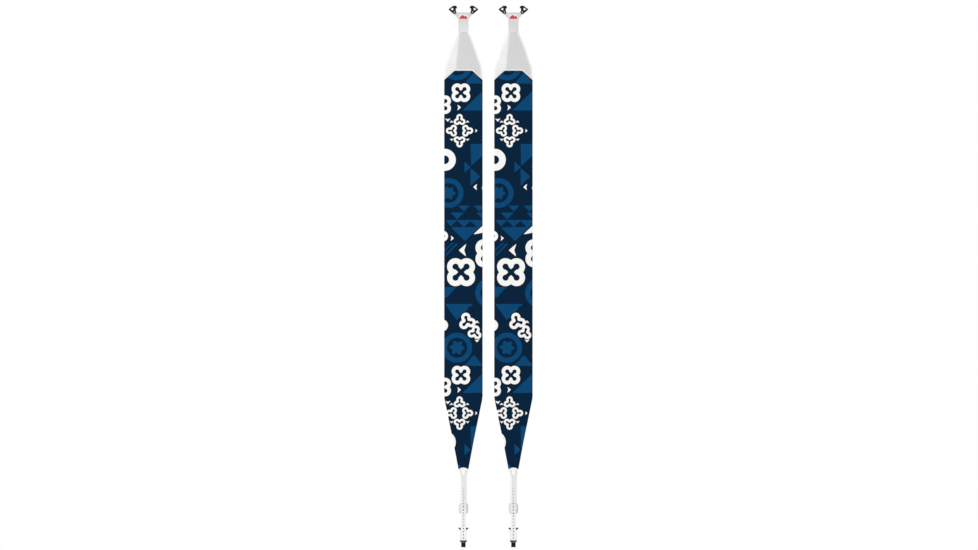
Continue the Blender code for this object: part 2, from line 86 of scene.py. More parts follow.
class Side(Enum):
    """Which skin of the pair a piece belongs to."""

    LEFT = -1
    RIGHT = 1

    @property
    def label(self) -> str:
        """The word that starts the names of this skin's pieces."""
        return self.name.lower()

    def seat(self, points: np.ndarray) -> np.ndarray:
        """Turn a skin's own millimetres into metres in the shared frame.

        Args:
            points: rows of x, y and z.

        Returns:
            The same rows in the shared frame.
        """
        origin = np.array([self.value * SKIN_PITCH / 2, 0.0, -HANG_HEIGHT])
        return (np.asarray(points, float) + origin) * MM


def srgb(code: str) -> Colour:
    """Turn an sRGB hex code into a linear colour.

    Args:
        code: six hex digits.

    Returns:
        Linear red, green, blue and a full alpha.
    """
    shares = [int(code[i : i + 2], 16) / 255 for i in (0, 2, 4)]
    linear = [
        s / SRGB_SLOPE if s <= SRGB_FOOT else ((s + SRGB_OFFSET) / (1 + SRGB_OFFSET)) ** SRGB_POWER
        for s in shares
    ]
    return (*linear, 1.0)


def add(tree: Tree, kind: str, inputs: dict | None = None, **settings) -> Node:
    """Add a node with its settings, and fill or link its inputs.

    Args:
        tree: the tree that the node goes into.
        kind: the node's type.
        inputs: what goes into each socket, by name or place: a node, a socket or a value.
        settings: the node's own properties.

    Returns:
        The new node.
    """
    node = tree.nodes.new(kind)
    for name, value in settings.items():
        setattr(node, name, value)
    for key, value in (inputs or {}).items():
        if isinstance(value, Node):
            value = value.outputs[0]
        if isinstance(value, bpy.types.NodeSocket):
            tree.links.new(value, node.inputs[key])
        else:
            node.inputs[key].default_value = value
    return node


# Finishes


@dataclass(frozen=True)
class Finish:
    """What a piece is made of and how its surface was made."""

    title: str
    slot: str
    roughness: float
    ior: float
    specular: float

    def material(self) -> bpy.types.Material:
        """Make the finish's material, once.

        Returns:
            The material.
        """
        known = bpy.data.materials.get(self.title)
        if known:
            return known
        material = bpy.data.materials.new(self.title)
        material.use_nodes = True
        tree = material.node_tree
        tree.nodes.clear()
        shader = add(
            tree,
            "ShaderNodeBsdfPrincipled",
            {"Roughness": self.roughness, "IOR": self.ior, "Specular IOR Level": self.specular},
        )
        add(tree, "ShaderNodeOutputMaterial", {"Surface": shader})
        place = add(tree, "ShaderNodeTexCoord").outputs["Object"]
        in_mm = add(tree, "ShaderNodeVectorMath", {0: place, 1: (1 / MM,) * 3}, operation="MULTIPLY")
        self.draw(tree, in_mm, shader)
        return material

    def draw(self, tree: Tree, in_mm: Node, shader: Node) -> None:
        """Add the nodes for colour and surface.

        Args:
            tree: the material's tree.
            in_mm: the place on the piece, in millimetres.
            shader: the Principled shader.
        """
        raise NotImplementedError


@dataclass(frozen=True)
class PrintedPlush(Finish):
    """Nylon plush, woven, napped towards the tail and printed: matte, with a soft lie."""

    ground: str = "08213A"
    ground_worn: str = "0A2741"
    blue: str = "0A436E"
    blue_worn: str = "0E4C7B"
    rim: str = "041930"
    white: str = PURE_WHITE
    white_worn: str = "F8F7F4"
    rim_width: float = 3.4

    def draw(self, tree: Tree, in_mm: Node, shader: Node) -> None:
        """Draw the print from its stored distances, under the streaks of the nap."""
        # Real pile is about 0.1 mm thick. The streaks are drawn 2.5 mm wide so that they show.
        lie = add(tree, "ShaderNodeMapping", {"Vector": in_mm, "Scale": (0.4, 0.4, 0.035)})
        streaks = add(
            tree,
            "ShaderNodeTexNoise",
            {"Vector": lie, "Scale": 1.0, "Detail": 4.0, "Roughness": 0.6},
        )
        tufts = add(tree, "ShaderNodeMapping", {"Vector": in_mm, "Scale": (1.6, 1.6, 0.5)})
        nap = add(
            tree,
            "ShaderNodeTexNoise",
            {"Vector": tufts, "Scale": 1.0, "Detail": 3.0, "Roughness": 0.7},
        )
        # Ink wicks along the fibres, so each printed edge wanders by about half a millimetre.
        wick = add(tree, "ShaderNodeMapRange", {0: nap, 1: 0.25, 2: 0.75, 3: -0.6, 4: 0.6})
        masks = {}
        reach = {
            "white": ("ink_white", 0.0),
            "rim": ("ink_white", self.rim_width),
            "blue": ("ink_blue", 0.0),
        }
        for name, (stored, edge) in reach.items():
            far = add(tree, "ShaderNodeAttribute", attribute_name=stored).outputs["Fac"]
            moved = add(tree, "ShaderNodeMath", {0: far, 1: wick}, operation="ADD")
            masks[name] = add(
                tree,
                "ShaderNodeMapRange",
                {0: moved, 1: edge + 0.5, 2: edge - 0.5, 3: 0.0, 4: 1.0},
            )
        tones = {}
        for name, plain, worn in (
            ("ground", self.ground, self.ground_worn),
            ("blue", self.blue, self.blue_worn),
            ("white", self.white, self.white_worn),
        ):
            tone = add(tree, "ShaderNodeMix", {0: streaks, 6: srgb(plain), 7: srgb(worn)}, data_type="RGBA")
            tones[name] = tone.outputs[2]
        dyed = add(
            tree,
            "ShaderNodeMix",
            {0: masks["blue"], 6: tones["ground"], 7: tones["blue"]},
            data_type="RGBA",
        )
        rimmed = add(
            tree,
            "ShaderNodeMix",
            {0: masks["rim"], 6: dyed.outputs[2], 7: srgb(self.rim)},
            data_type="RGBA",
        )
        inked = add(
            tree,
            "ShaderNodeMix",
            {0: masks["white"], 6: rimmed.outputs[2], 7: tones["white"]},
            data_type="RGBA",
        )
        tree.links.new(inked.outputs[2], shader.inputs["Base Color"])
        height = add(tree, "ShaderNodeMath", {0: nap, 1: streaks}, operation="ADD")
        bump = add(tree, "ShaderNodeBump", {"Strength": 0.35, "Distance": 0.3 * MM, "Height": height})
        tree.links.new(bump.outputs[0], shader.inputs["Normal"])
        shader.inputs["Sheen Weight"].default_value = 0.015
        shader.inputs["Sheen Roughness"].default_value = 0.5
        shader.inputs["Sheen Tint"].default_value = srgb("7FA6D8")


@dataclass(frozen=True)
class Woven(Finish):
    """Polyester yarn in a plain weave: matte, with a grid of small crowns and painted shade between them.
    """

    yarn: str = "8E9196"
    hollow_shade: str = "6C6F74"
    thread: float = 0.9

    def draw(self, tree: Tree, in_mm: Node, shader: Node) -> None:
        """Draw the weave as two crossed sets of waves, with painted shade in its hollows."""
        # The real yarn is 0.3 mm apart. It is drawn coarser so that it shows.
        across = add(
            tree,
            "ShaderNodeTexWave",
            {"Vector": in_mm, "Scale": 0.314 / self.thread, "Distortion": 0.4},
            bands_direction="X",
        )
        along = add(
            tree,
            "ShaderNodeTexWave",
            {"Vector": in_mm, "Scale": 0.314 / self.thread, "Distortion": 0.4},
            bands_direction="Z",
        )
        crown = add(
            tree,
            "ShaderNodeMath",
            {0: across.outputs["Fac"], 1: along.outputs["Fac"]},
            operation="MULTIPLY",
        )
        slub = add(tree, "ShaderNodeTexNoise", {"Vector": in_mm, "Scale": 0.12, "Detail": 3.0})
        # Darker in the weave's hollows: painted shade, with the slub's random tone.
        shade = add(tree, "ShaderNodeMath", {0: crown, 1: slub}, operation="MULTIPLY")
        colour = add(
            tree,
            "ShaderNodeMix",
            {0: shade, 6: srgb(self.hollow_shade), 7: srgb(self.yarn)},
            data_type="RGBA",
        )
        tree.links.new(colour.outputs[2], shader.inputs["Base Color"])
        bump = add(tree, "ShaderNodeBump", {"Strength": 0.4, "Distance": 0.15 * MM, "Height": crown})
        tree.links.new(bump.outputs[0], shader.inputs["Normal"])
        shader.inputs["Sheen Weight"].default_value = 0.1


@dataclass(frozen=True)
class StrapTape(Woven):
    """Nylon tape, woven and heat-set: its grey, seen through the strap's holes, is painted shade in them,
    lighter above the buckle.
    """

    bleached: str = "D3D3D4"
    hole_shade_low_z: float = -1.690
    bleached_z: float = -1.675

    def draw(self, tree: Tree, in_mm: Node, shader: Node) -> None:
        """Weave the tape, then lighten the painted hole shade on its upper part."""
        super().draw(tree, in_mm, shader)
        woven = shader.inputs["Base Color"].links[0].from_socket
        height = add(tree, "ShaderNodeSeparateXYZ", {0: in_mm}).outputs[2]
        # Lighter above the buckle: less painted shade in the holes there.
        spans = {0: height, 1: self.hole_shade_low_z / MM, 2: self.bleached_z / MM, 3: 0.0, 4: 0.8}
        upper_share = add(tree, "ShaderNodeMapRange", spans)
        colour = add(tree, "ShaderNodeMix", {0: upper_share, 6: woven, 7: srgb(self.bleached)}, data_type="RGBA")
        tree.links.new(colour.outputs[2], shader.inputs["Base Color"])


@dataclass(frozen=True)
class SkinGlue(Finish):
    """Hot-melt adhesive, rolled on: dark, slightly wet, with roller marks and caught lint."""

    film: str = "3A3734"
    thin: str = "57534E"

    def draw(self, tree: Tree, in_mm: Node, shader: Node) -> None:
        """Draw the roller marks and the uneven film."""
        marks = add(tree, "ShaderNodeMapping", {"Vector": in_mm, "Scale": (0.08, 0.08, 0.5)})
        rolled = add(tree, "ShaderNodeTexNoise", {"Vector": marks, "Scale": 1.0, "Detail": 3.0})
        film = add(tree, "ShaderNodeTexNoise", {"Vector": in_mm, "Scale": 0.03, "Detail": 4.0})
        mixed = add(tree, "ShaderNodeMath", {0: rolled, 1: film}, operation="MULTIPLY")
        spread = add(tree, "ShaderNodeMapRange", {0: mixed, 1: 0.12, 2: 0.4, 3: 0.0, 4: 1.0})
        colour = add(
            tree,
            "ShaderNodeMix",
            {0: spread, 6: srgb(self.film), 7: srgb(self.thin)},
            data_type="RGBA",
        )
        tree.links.new(colour.outputs[2], shader.inputs["Base Color"])
        bump = add(tree, "ShaderNodeBump", {"Strength": 0.3, "Distance": 0.2 * MM, "Height": rolled})
        tree.links.new(bump.outputs[0], shader.inputs["Normal"])


@dataclass(frozen=True)
class CoatedFabric(Finish):
    """Polyurethane-coated nylon, ribbed: white, with painted shade: greyer right of the crease, where the
    fold turns it from the light, and in the rib hollows.
    """

    bright: str = "F5F5F6"
    grey: str = "DADADB"
    soiled: str = "CFCFD0"
    rib: str = "C6C6C8"
    rib_pitch: float = 10.0
    edge_reach: float = 9.0

    def draw(self, tree: Tree, in_mm: Node, shader: Node) -> None:
        """Draw the painted shade right of the crease and in the rib hollows, the weave under the coat and
        light soiling.
        """
        # Right of the crease the white turns grey: painted shade, added to the real crease in the geometry.
        beside = add(tree, "ShaderNodeAttribute", attribute_name="past_crease").outputs["Fac"]
        crease_shade_share = add(tree, "ShaderNodeMapRange", {0: beside, 1: -5.0, 2: 4.0, 3: 0.0, 4: 1.0})
        base = add(
            tree,
            "ShaderNodeMix",
            {0: crease_shade_share, 6: srgb(self.bright), 7: srgb(self.grey)},
            data_type="RGBA",
        )
        cloud = add(tree, "ShaderNodeTexNoise", {"Vector": in_mm, "Scale": 0.05, "Detail": 4.0})
        dirt = add(tree, "ShaderNodeMapRange", {0: cloud, 1: 0.45, 2: 0.8, 3: 0.0, 4: 0.2})
        worn = add(
            tree,
            "ShaderNodeMix",
            {0: dirt, 6: base.outputs[2], 7: srgb(self.soiled)},
            data_type="RGBA",
        )
        # Darker bands in the rib hollows: painted shade.
        ribs = add(
            tree,
            "ShaderNodeTexWave",
            {"Vector": in_mm, "Scale": 0.314 / self.rib_pitch, "Distortion": 0.3, "Detail": 1.0},
            bands_direction="Z",
        )
        hollow_shade = add(tree, "ShaderNodeMapRange", {0: ribs.outputs["Fac"], 1: 0.7, 2: 1.0, 3: 0.0, 4: 0.16})
        ribbed = add(
            tree,
            "ShaderNodeMix",
            {0: hollow_shade, 6: worn.outputs[2], 7: srgb(self.rib)},
            data_type="RGBA",
        )
        # Paler, towards pure white, within edge_reach of the panel's edges.
        inside = add(tree, "ShaderNodeAttribute", attribute_name="in_from_edge").outputs["Fac"]
        rolled = add(tree, "ShaderNodeMapRange", {0: inside, 1: self.edge_reach, 2: 0.0, 3: 0.0, 4: 0.9})
        pale = add(
            tree,
            "ShaderNodeMix",
            {0: rolled, 6: ribbed.outputs[2], 7: srgb(PURE_WHITE)},
            data_type="RGBA",
        )
        tree.links.new(pale.outputs[2], shader.inputs["Base Color"])
        weave = add(
            tree,
            "ShaderNodeTexWave",
            {"Vector": in_mm, "Scale": 0.21, "Distortion": 0.6, "Detail": 1.0},
            bands_direction="Z",
        )
        grain = add(tree, "ShaderNodeTexNoise", {"Vector": in_mm, "Scale": 1.4, "Detail": 2.0})
        height = add(tree, "ShaderNodeMath", {0: weave.outputs["Fac"], 1: grain}, operation="ADD")
        bump = add(tree, "ShaderNodeBump", {"Strength": 0.25, "Distance": 0.2 * MM, "Height": height})
        tree.links.new(bump.outputs[0], shader.inputs["Normal"])


@dataclass(frozen=True)
class Moulded(Finish):
    """Plastic from a spark-finished mould: satin, fine-grained, paler where edges rub."""

    colour: str
    rubbed: str
    mottle: str
    grain: float = 1.6

    def draw(self, tree: Tree, in_mm: Node, shader: Node) -> None:
        """Draw the mottle, the rubbed edges and the mould's grain."""
        cloud = add(tree, "ShaderNodeTexNoise", {"Vector": in_mm, "Scale": 0.11, "Detail": 4.0})
        base = add(
            tree,
            "ShaderNodeMix",
            {0: cloud, 6: srgb(self.colour), 7: srgb(self.mottle)},
            data_type="RGBA",
        )
        edge = add(tree, "ShaderNodeNewGeometry").outputs["Pointiness"]
        rub = add(tree, "ShaderNodeMapRange", {0: edge, 1: 0.52, 2: 0.62, 3: 0.0, 4: 0.6})
        worn = add(
            tree,
            "ShaderNodeMix",
            {0: rub, 6: base.outputs[2], 7: srgb(self.rubbed)},
            data_type="RGBA",
        )
        tree.links.new(worn.outputs[2], shader.inputs["Base Color"])
        # The mould's grain is about 0.05 mm. It is drawn at 0.6 mm so that it shows.
        grain = add(tree, "ShaderNodeTexNoise", {"Vector": in_mm, "Scale": self.grain, "Detail": 2.0})
        rough = add(
            tree,
            "ShaderNodeMapRange",
            {0: grain, 1: 0.3, 2: 0.7, 3: self.roughness - 0.06, 4: self.roughness + 0.08},
        )
        tree.links.new(rough.outputs[0], shader.inputs["Roughness"])
        bump = add(tree, "ShaderNodeBump", {"Strength": 0.15, "Distance": 0.08 * MM, "Height": grain})
        tree.links.new(bump.outputs[0], shader.inputs["Normal"])


@dataclass(frozen=True)
class StrapPlastic(Moulded):
    """Polyurethane moulded with a low ridge down its left, drawn only in colour: white left of it, painted
    shade right of it and a painted shadow along its foot.
    """

    shade: str = "EDEDEE"
    painted_shade_low: str = "F8F8F9"
    ridge_foot_shadow: str = "DFDFE0"
    ridge_x: float = -5.0
    ridge_foot: float = 3.4
    leg_z: float = -1.582
    leg_lean: float = 0.3
    buckle_z: float = -1.690
    buckle_reach: float = 8.0
    ridge_blend: float = 1.0

    def draw(self, tree: Tree, in_mm: Node, shader: Node) -> None:
        """Mould the plastic, then paint shade on what lies right of the ridge, greyer above the buckle,
        with a darker painted shadow along the ridge's foot.
        """
        super().draw(tree, in_mm, shader)
        plain = shader.inputs["Base Color"].links[0].from_socket
        height = add(tree, "ShaderNodeSeparateXYZ", {0: in_mm}).outputs[2]
        low = self.buckle_z / MM - self.buckle_reach
        high = self.buckle_z / MM + self.buckle_reach
        spans = {0: height, 1: low, 2: high, 3: 0.0, 4: 1.0}
        above = add(tree, "ShaderNodeMapRange", spans)
        # Right of the ridge the plastic gets painted shade, greyer above the buckle than below it.
        tone = add(
            tree,
            "ShaderNodeMix",
            {0: above, 6: srgb(self.painted_shade_low), 7: srgb(self.shade)},
            data_type="RGBA",
        )
        own = add(tree, "ShaderNodeAttribute", attribute_name="own_x").outputs["Fac"]
        rise = add(tree, "ShaderNodeMath", {0: height, 1: self.leg_z / MM}, operation="SUBTRACT")
        climb = add(tree, "ShaderNodeMath", {0: rise, 1: 0.0}, operation="MAXIMUM")
        lean = add(tree, "ShaderNodeMath", {0: climb, 1: self.leg_lean}, operation="MULTIPLY")
        across = add(tree, "ShaderNodeMath", {0: own, 1: lean}, operation="ADD")
        # A darker painted shadow along the ridge's foot above the buckle; the line slants up the fork's
        # legs.
        foot = add(
            tree,
            "ShaderNodeMapRange",
            {0: across, 1: self.ridge_x, 2: self.ridge_x + self.ridge_foot, 3: 1.0, 4: 0.0},
        )
        foot_shadow_share = add(tree, "ShaderNodeMath", {0: foot, 1: above}, operation="MULTIPLY")
        shaded = add(
            tree,
            "ShaderNodeMix",
            {0: foot_shadow_share, 6: tone.outputs[2], 7: srgb(self.ridge_foot_shadow)},
            data_type="RGBA",
        )
        # Left of the ridge line the plain white stays; right of it, the painted shade.
        left = self.ridge_x - self.ridge_blend
        right = self.ridge_x + self.ridge_blend
        ridge_shade_share = add(tree, "ShaderNodeMapRange", {0: across, 1: left, 2: right, 3: 0.0, 4: 1.0})
        colour = add(tree, "ShaderNodeMix", {0: ridge_shade_share, 6: plain, 7: shaded.outputs[2]}, data_type="RGBA")
        tree.links.new(colour.outputs[2], shader.inputs["Base Color"])


@dataclass(frozen=True)
class TurnedSteel(Finish):
    """Stainless steel, pressed and tumbled: bright, with fine round scratches."""

    colour: str = "C9C9CB"
    scuffed: str = "B4B4B8"

    def draw(self, tree: Tree, in_mm: Node, shader: Node) -> None:
        """Draw the tumbling marks."""
        marks = add(tree, "ShaderNodeTexNoise", {"Vector": in_mm, "Scale": 2.2, "Detail": 3.0})
        rough = add(
            tree,
            "ShaderNodeMapRange",
            {0: marks, 1: 0.3, 2: 0.7, 3: self.roughness - 0.08, 4: self.roughness + 0.12},
        )
        tree.links.new(rough.outputs[0], shader.inputs["Roughness"])
        tint = add(
            tree,
            "ShaderNodeMix",
            {0: marks, 6: srgb(self.colour), 7: srgb(self.scuffed)},
            data_type="RGBA",
        )
        tree.links.new(tint.outputs[2], shader.inputs["Base Color"])
        shader.inputs["Metallic"].default_value = 1.0
        bump = add(tree, "ShaderNodeBump", {"Strength": 0.1, "Distance": 0.05 * MM, "Height": marks})
        tree.links.new(bump.outputs[0], shader.inputs["Normal"])


@dataclass(frozen=True)
class StudioPaint(Finish):
    """Matte wall paint, rolled: the pale floor."""

    colour: str = "F0F0F0"
    stippled: str = "ECECEC"

    def draw(self, tree: Tree, in_mm: Node, shader: Node) -> None:
        """Draw the roller's faint stipple."""
        stipple = add(tree, "ShaderNodeTexNoise", {"Vector": in_mm, "Scale": 0.2, "Detail": 2.0})
        tint = add(
            tree,
            "ShaderNodeMix",
            {0: stipple, 6: srgb(self.colour), 7: srgb(self.stippled)},
            data_type="RGBA",
        )
        tree.links.new(tint.outputs[2], shader.inputs["Base Color"])


PLUSH = PrintedPlush("nylon_plush_printed", "printed_plush", 0.95, 1.53, 0.03)
BACKING = Woven("polyester_backing_woven", "woven_backing", 0.85, 1.53, 0.3)
GLUE = SkinGlue("hot_melt_glue_rolled", "skin_glue", 0.42, 1.5, 0.5)
COATED = CoatedFabric("coated_nylon_ribbed", "coated_fabric", 0.6, 1.5, 0.35)
TAPE = Woven("polyester_tape_woven", "trim_tape", 0.8, 1.53, 0.3, yarn=PURE_WHITE, hollow_shade="F3F3F3")
THREAD = Woven("polyester_thread_twisted", "trim_tape", 0.6, 1.53, 0.4, yarn="E4E4E6", hollow_shade="CFCFD2")
WHITE = Moulded("nylon_white_moulded", "white_nylon", 0.42, 1.53, 0.4, "DEDEDF", "F2F2F2", "D8D8D9")
CREAM = Moulded("urethane_white_moulded", "soft_tpu", 0.48, 1.5, 0.4, "FAFAFB", PURE_WHITE, "F6F6F7")
STRAP = StrapPlastic("urethane_strap_moulded", "soft_tpu", 0.48, 1.5, 0.4, PURE_WHITE, PURE_WHITE, "FCFCFC")
BLACK = Moulded("nylon_black_moulded", "black_nylon", 0.5, 1.53, 0.2, "050506", "17171A", "08080A")
TAB_WHITE = Moulded("nylon_pale_moulded", "white_nylon", 0.5, 1.53, 0.35, "DBDBDC", "F6F6F7", "D7D7D8")
LABEL = Moulded("vinyl_label_cast", "badge_red", 0.35, 1.46, 0.5, "F1F1F2", "FAFAFA", "E8E8E9")
RED_INK = Moulded("vinyl_ink_printed", "badge_red", 0.4, 1.48, 0.45, "CB2F3E", "DB5F6A", "C22838")
HOLE_SHADE_TAPE = StrapTape("nylon_tape_woven", "grey_webbing", 0.85, 1.53, 0.2, yarn="C2C2C4", hollow_shade="AAAAAC")
STEEL = TurnedSteel("stainless_steel_tumbled", "steel", 0.32, 1.5, 0.5)
FLOOR = StudioPaint("wall_paint_rolled", "studio", 0.9, 1.5, 0.2)


# Shapes of the print. Each gives the distance in millimetres to its edge, less than 0 inside.


@dataclass(frozen=True)
class Ring:
    """A flat ring, or a disc where its inner radius is 0."""

    centre: Point
    outer: float
    inner: float = 0.0

    def distance(self, x: np.ndarray, z: np.ndarray) -> np.ndarray:
        """The distance to the ring's edge."""
        far = np.hypot(x - self.centre[0], z - self.centre[1])
        return np.maximum(far - self.outer, self.inner - far)


@dataclass(frozen=True)
class Flower:
    """A rosette with rounded petals."""

    centre: Point
    radius: float
    petals: int = 6

    def distance(self, x: np.ndarray, z: np.ndarray) -> np.ndarray:
        """The distance to the rosette's edge, along its rays."""
        u, v = x - self.centre[0], z - self.centre[1]
        swell = 0.84 + 0.16 * np.cos(self.petals * np.arctan2(v, u) + 0.5)
        return np.hypot(u, v) - self.radius * swell


@dataclass(frozen=True)
class Polygon:
    """A shape with straight sides."""

    corners: tuple[Point, ...]

    def distance(self, x: np.ndarray, z: np.ndarray) -> np.ndarray:
        """The distance to the nearest side, with the sign of an even-odd test."""
        nearest = np.full(x.shape, np.inf)
        inside = np.zeros(x.shape, bool)
        for i, (bx, bz) in enumerate(self.corners):
            ax, az = self.corners[i - 1]
            dx, dz = bx - ax, bz - az
            share = np.clip(((x - ax) * dx + (z - az) * dz) / (dx * dx + dz * dz), 0, 1)
            nearest = np.minimum(nearest, np.hypot(x - ax - share * dx, z - az - share * dz))
            if dz:
                crosses = (az > z) != (bz > z)
                inside ^= crosses & (x < ax + (z - az) * dx / dz)
        return np.where(inside, -nearest, nearest)


@dataclass(frozen=True)
class Clover:
    """Overlapping round lobes with an eye in each, joined by lanes in the middle."""

    centre: Point
    radius: float
    lobes: int = 4
    turn: float = 45.0
    lobe_share: float = 0.52  # a lobe's radius over the whole one's
    eye_share: float = 0.19
    lane_share: float = 0.125  # half the width of the lane that joins the eyes

    def distance(self, x: np.ndarray, z: np.ndarray) -> np.ndarray:
        """The distance to the edge of the lobes, or of the eyes and lanes inside them."""
        lobe = self.radius * self.lobe_share
        out = self.radius - lobe
        union = np.full(x.shape, np.inf)
        inner = np.full(x.shape, np.inf)
        u, v = x - self.centre[0], z - self.centre[1]
        for i in range(self.lobes):
            angle = math.radians(self.turn) + 2 * math.pi * i / self.lobes
            c, s = math.cos(angle), math.sin(angle)
            far = np.hypot(u - out * c, v - out * s)
            union = np.minimum(union, far - lobe)
            inner = np.minimum(inner, far - self.radius * self.eye_share)
            along = np.clip(u * c + v * s, 0, out)
            lane = np.hypot(u - along * c, v - along * s) - self.radius * self.lane_share
            inner = np.minimum(inner, lane)
        return np.maximum(union, -inner)


def dart(x: float, z: float, size: float, turn: float) -> Polygon:
    """A small barbed triangle.

    Args:
        x: across the skin, to its tip.
        z: up the skin, to its tip.
        size: from its tip to its barbs.
        turn: the way that it points, in degrees.

    Returns:
        The shape.
    """
    shape = ((0.0, 0.0), (-size, 0.85 * size), (-0.72 * size, 0.0), (-size, -0.85 * size))
    c, s = math.cos(math.radians(turn)), math.sin(math.radians(turn))
    return Polygon(tuple((x + u * c - v * s, z + u * s + v * c) for u, v in shape))


@dataclass(frozen=True)
class Print:
    """The print's repeat: its blue shapes, what is left out of them, and its white shapes."""

    repeat: float = 955.9
    blue: tuple = (
        Ring((-21.3, 1632.2), 50.8, 33.9),
        Flower((-21.3, 1632.2), 25.4),
        Polygon(((33.0, 1605.2), (39.0, 1605.2), (64.7, 1570.6), (3.7, 1570.6))),
        Polygon(((-3.4, 1479.2), (65.0, 1545.3), (80.0, 1545.3), (80.0, 1479.2))),
        Polygon(((24.4, 1365.9), (80.0, 1365.9), (80.0, 1341.0), (26.1, 1291.7))),
        Polygon(((3.7, 1307.3), (24.4, 1286.6), (3.7, 1269.0))),
        Polygon(((24.4, 1284.6), (57.2, 1255.5), (24.4, 1224.4))),
        Ring((-49.8, 1200.0), 50.1, 32.8),
        Flower((-49.8, 1200.0), 23.7),
        Polygon(((-18.0, 1157.6), (21.0, 1157.6), (1.5, 1137.0))),
        Polygon(((34.0, 1157.6), (75.0, 1157.6), (54.5, 1137.0))),
        Polygon(((-44.0, 1134.0), (2.0, 1134.0), (-21.0, 1111.0))),
        Polygon(((44.0, 1134.0), (80.0, 1134.0), (80.0, 1111.0), (66.0, 1111.0))),
        Polygon(((-62.0, 1108.6), (80.0, 1108.6), (52.0, 1084.0), (-39.0, 1084.0))),
        Polygon(((-41.3, 1082.5), (52.1, 1082.5), (5.4, 1037.5))),
        Polygon(((-63.6, 881.8), (-24.0, 881.8), (-55.5, 846.3), (-66.0, 846.3))),
        Ring((90.7, 861.5), 50.8, 33.0),
        Polygon(((-62.3, 824.2), (33.2, 824.2), (-22.3, 770.1))),
        Ring((41.0, 792.0), 24.0, 16.0),
    )
    faint: tuple = (
        Polygon(((-24.0, 1032.0), (-18.0, 1026.0), (-58.0, 986.0), (-62.0, 992.0))),
        Polygon(((-36.0, 1034.0), (-31.0, 1030.0), (-64.0, 1000.0), (-66.0, 1008.0))),
    )
    left_out: tuple = (
        Polygon(((-21.6, 1107.0), (-43.6, 1086.0), (0.0, 1086.0))),
        Polygon(((24.0, 1105.0), (2.0, 1086.0), (46.0, 1086.0))),
        Polygon(((17.0, 816.0), (80.0, 816.0), (80.0, 760.0), (17.0, 760.0))),
    )
    white: tuple = (
        Clover((-8.5, 1539.5), 36.5),
        Clover((-73.5, 1499.0), 36.5),
        dart(-8.0, 1489.7, 13.0, 0.0),
        dart(-53.0, 1441.0, 12.0, -90.0),
        Clover((-13.0, 1446.5), 21.0, 3, 90.0),
        Clover((12.0, 1411.0), 21.0, 3, 0.0),
        Clover((-38.0, 1411.0), 21.0, 3, 180.0),
        Clover((-13.0, 1375.5), 21.0, 3, 270.0),
        dart(14.0, 1446.0, 9.0, 90.0),
        dart(48.0, 1411.0, 9.0, 0.0),
        dart(14.0, 1376.0, 9.0, -90.0),
        dart(-40.0, 1446.0, 9.0, 90.0),
        dart(-40.0, 1376.0, 9.0, -90.0),
        Ring((-63.0, 1312.4), 37.2, 14.6),
        dart(33.0, 1220.0, 14.0, 180.0),
        Ring((74.0, 1217.3), 11.0),
        Ring((-70.0, 1054.0), 18.0, 7.0),
        dart(-32.0, 1047.0, 12.0, 0.0),
        Polygon(((70.0, 1094.0), (34.0, 1060.0), (52.0, 1063.0), (70.0, 1067.0))),
        dart(-16.0, 1006.0, 26.0, 180.0),
        Clover((-8.0, 932.0), 55.0),
        Clover((88.0, 996.0), 55.0),
        Clover((12.0, 765.0), 30.0, 3, 105.0),
        Clover((39.0, 727.0), 25.0, 3, -45.0),
        dart(46.0, 769.0, 11.0, 90.0),
        dart(46.0, 694.0, 11.0, -90.0),
        Ring((-72.0, 752.0), 20.0, 6.0),
    )

    def nearest(self, shapes: tuple, x: np.ndarray, z: np.ndarray) -> np.ndarray:
        """The distance to the nearest of some shapes, in each repeat down the skin.

        Args:
            shapes: the shapes of the first repeat.
            x: across the skin.
            z: up the skin.

        Returns:
            Distances of the same form as x.
        """
        near = np.full(x.shape, np.inf)
        for shape in shapes:
            for lift in (-self.repeat, 0.0, self.repeat):
                near = np.minimum(near, shape.distance(x, z + lift))
        return near

    def ink(self, x: np.ndarray, z: np.ndarray) -> dict[str, np.ndarray]:
        """The distances to the white ink and the blue ink, by the attribute that holds them."""
        blue = np.maximum(self.nearest(self.blue, x, z), -self.nearest(self.left_out, x, z))
        faint = np.maximum(self.nearest(self.faint, x, z) + 0.35, -0.25)
        return {"ink_white": self.nearest(self.white, x, z), "ink_blue": np.minimum(blue, faint)}


# Mesh making


def make_object(name: str, mesh: bpy.types.Mesh) -> Thing:
    """Link a new object that holds a mesh."""
    thing = bpy.data.objects.new(name, mesh)
    bpy.context.scene.collection.objects.link(thing)
    return thing


def settle(thing: Thing) -> Thing:
    """Turn an object with modifiers into a plain mesh.

    Args:
        thing: the object.

    Returns:
        The same object, with its modifiers applied and removed.
    """
    graph = bpy.context.evaluated_depsgraph_get()
    final = bpy.data.meshes.new_from_object(thing.evaluated_get(graph))
    thing.modifiers.clear()
    old = thing.data
    thing.data = final
    bpy.data.meshes.remove(old)
    return thing


def round_edges(thing: Thing, width: float, segments: int = 3) -> Thing:
    """Round a hard piece's edges, as its mould does.

    Args:
        thing: the piece.
        width: how far the rounding reaches, in millimetres.
        segments: how many faces it has.

    Returns:
        The same piece as a plain, smooth mesh.
    """
    bevel = thing.modifiers.new("edges", "BEVEL")
    bevel.width = width * MM
    bevel.segments = segments
    bevel.limit_method = "ANGLE"
    bevel.angle_limit = math.radians(40)
    thing.data.shade_smooth()
    smooth = thing.modifiers.new("normals", "WEIGHTED_NORMAL")
    smooth.keep_sharp = False
    return settle(thing)


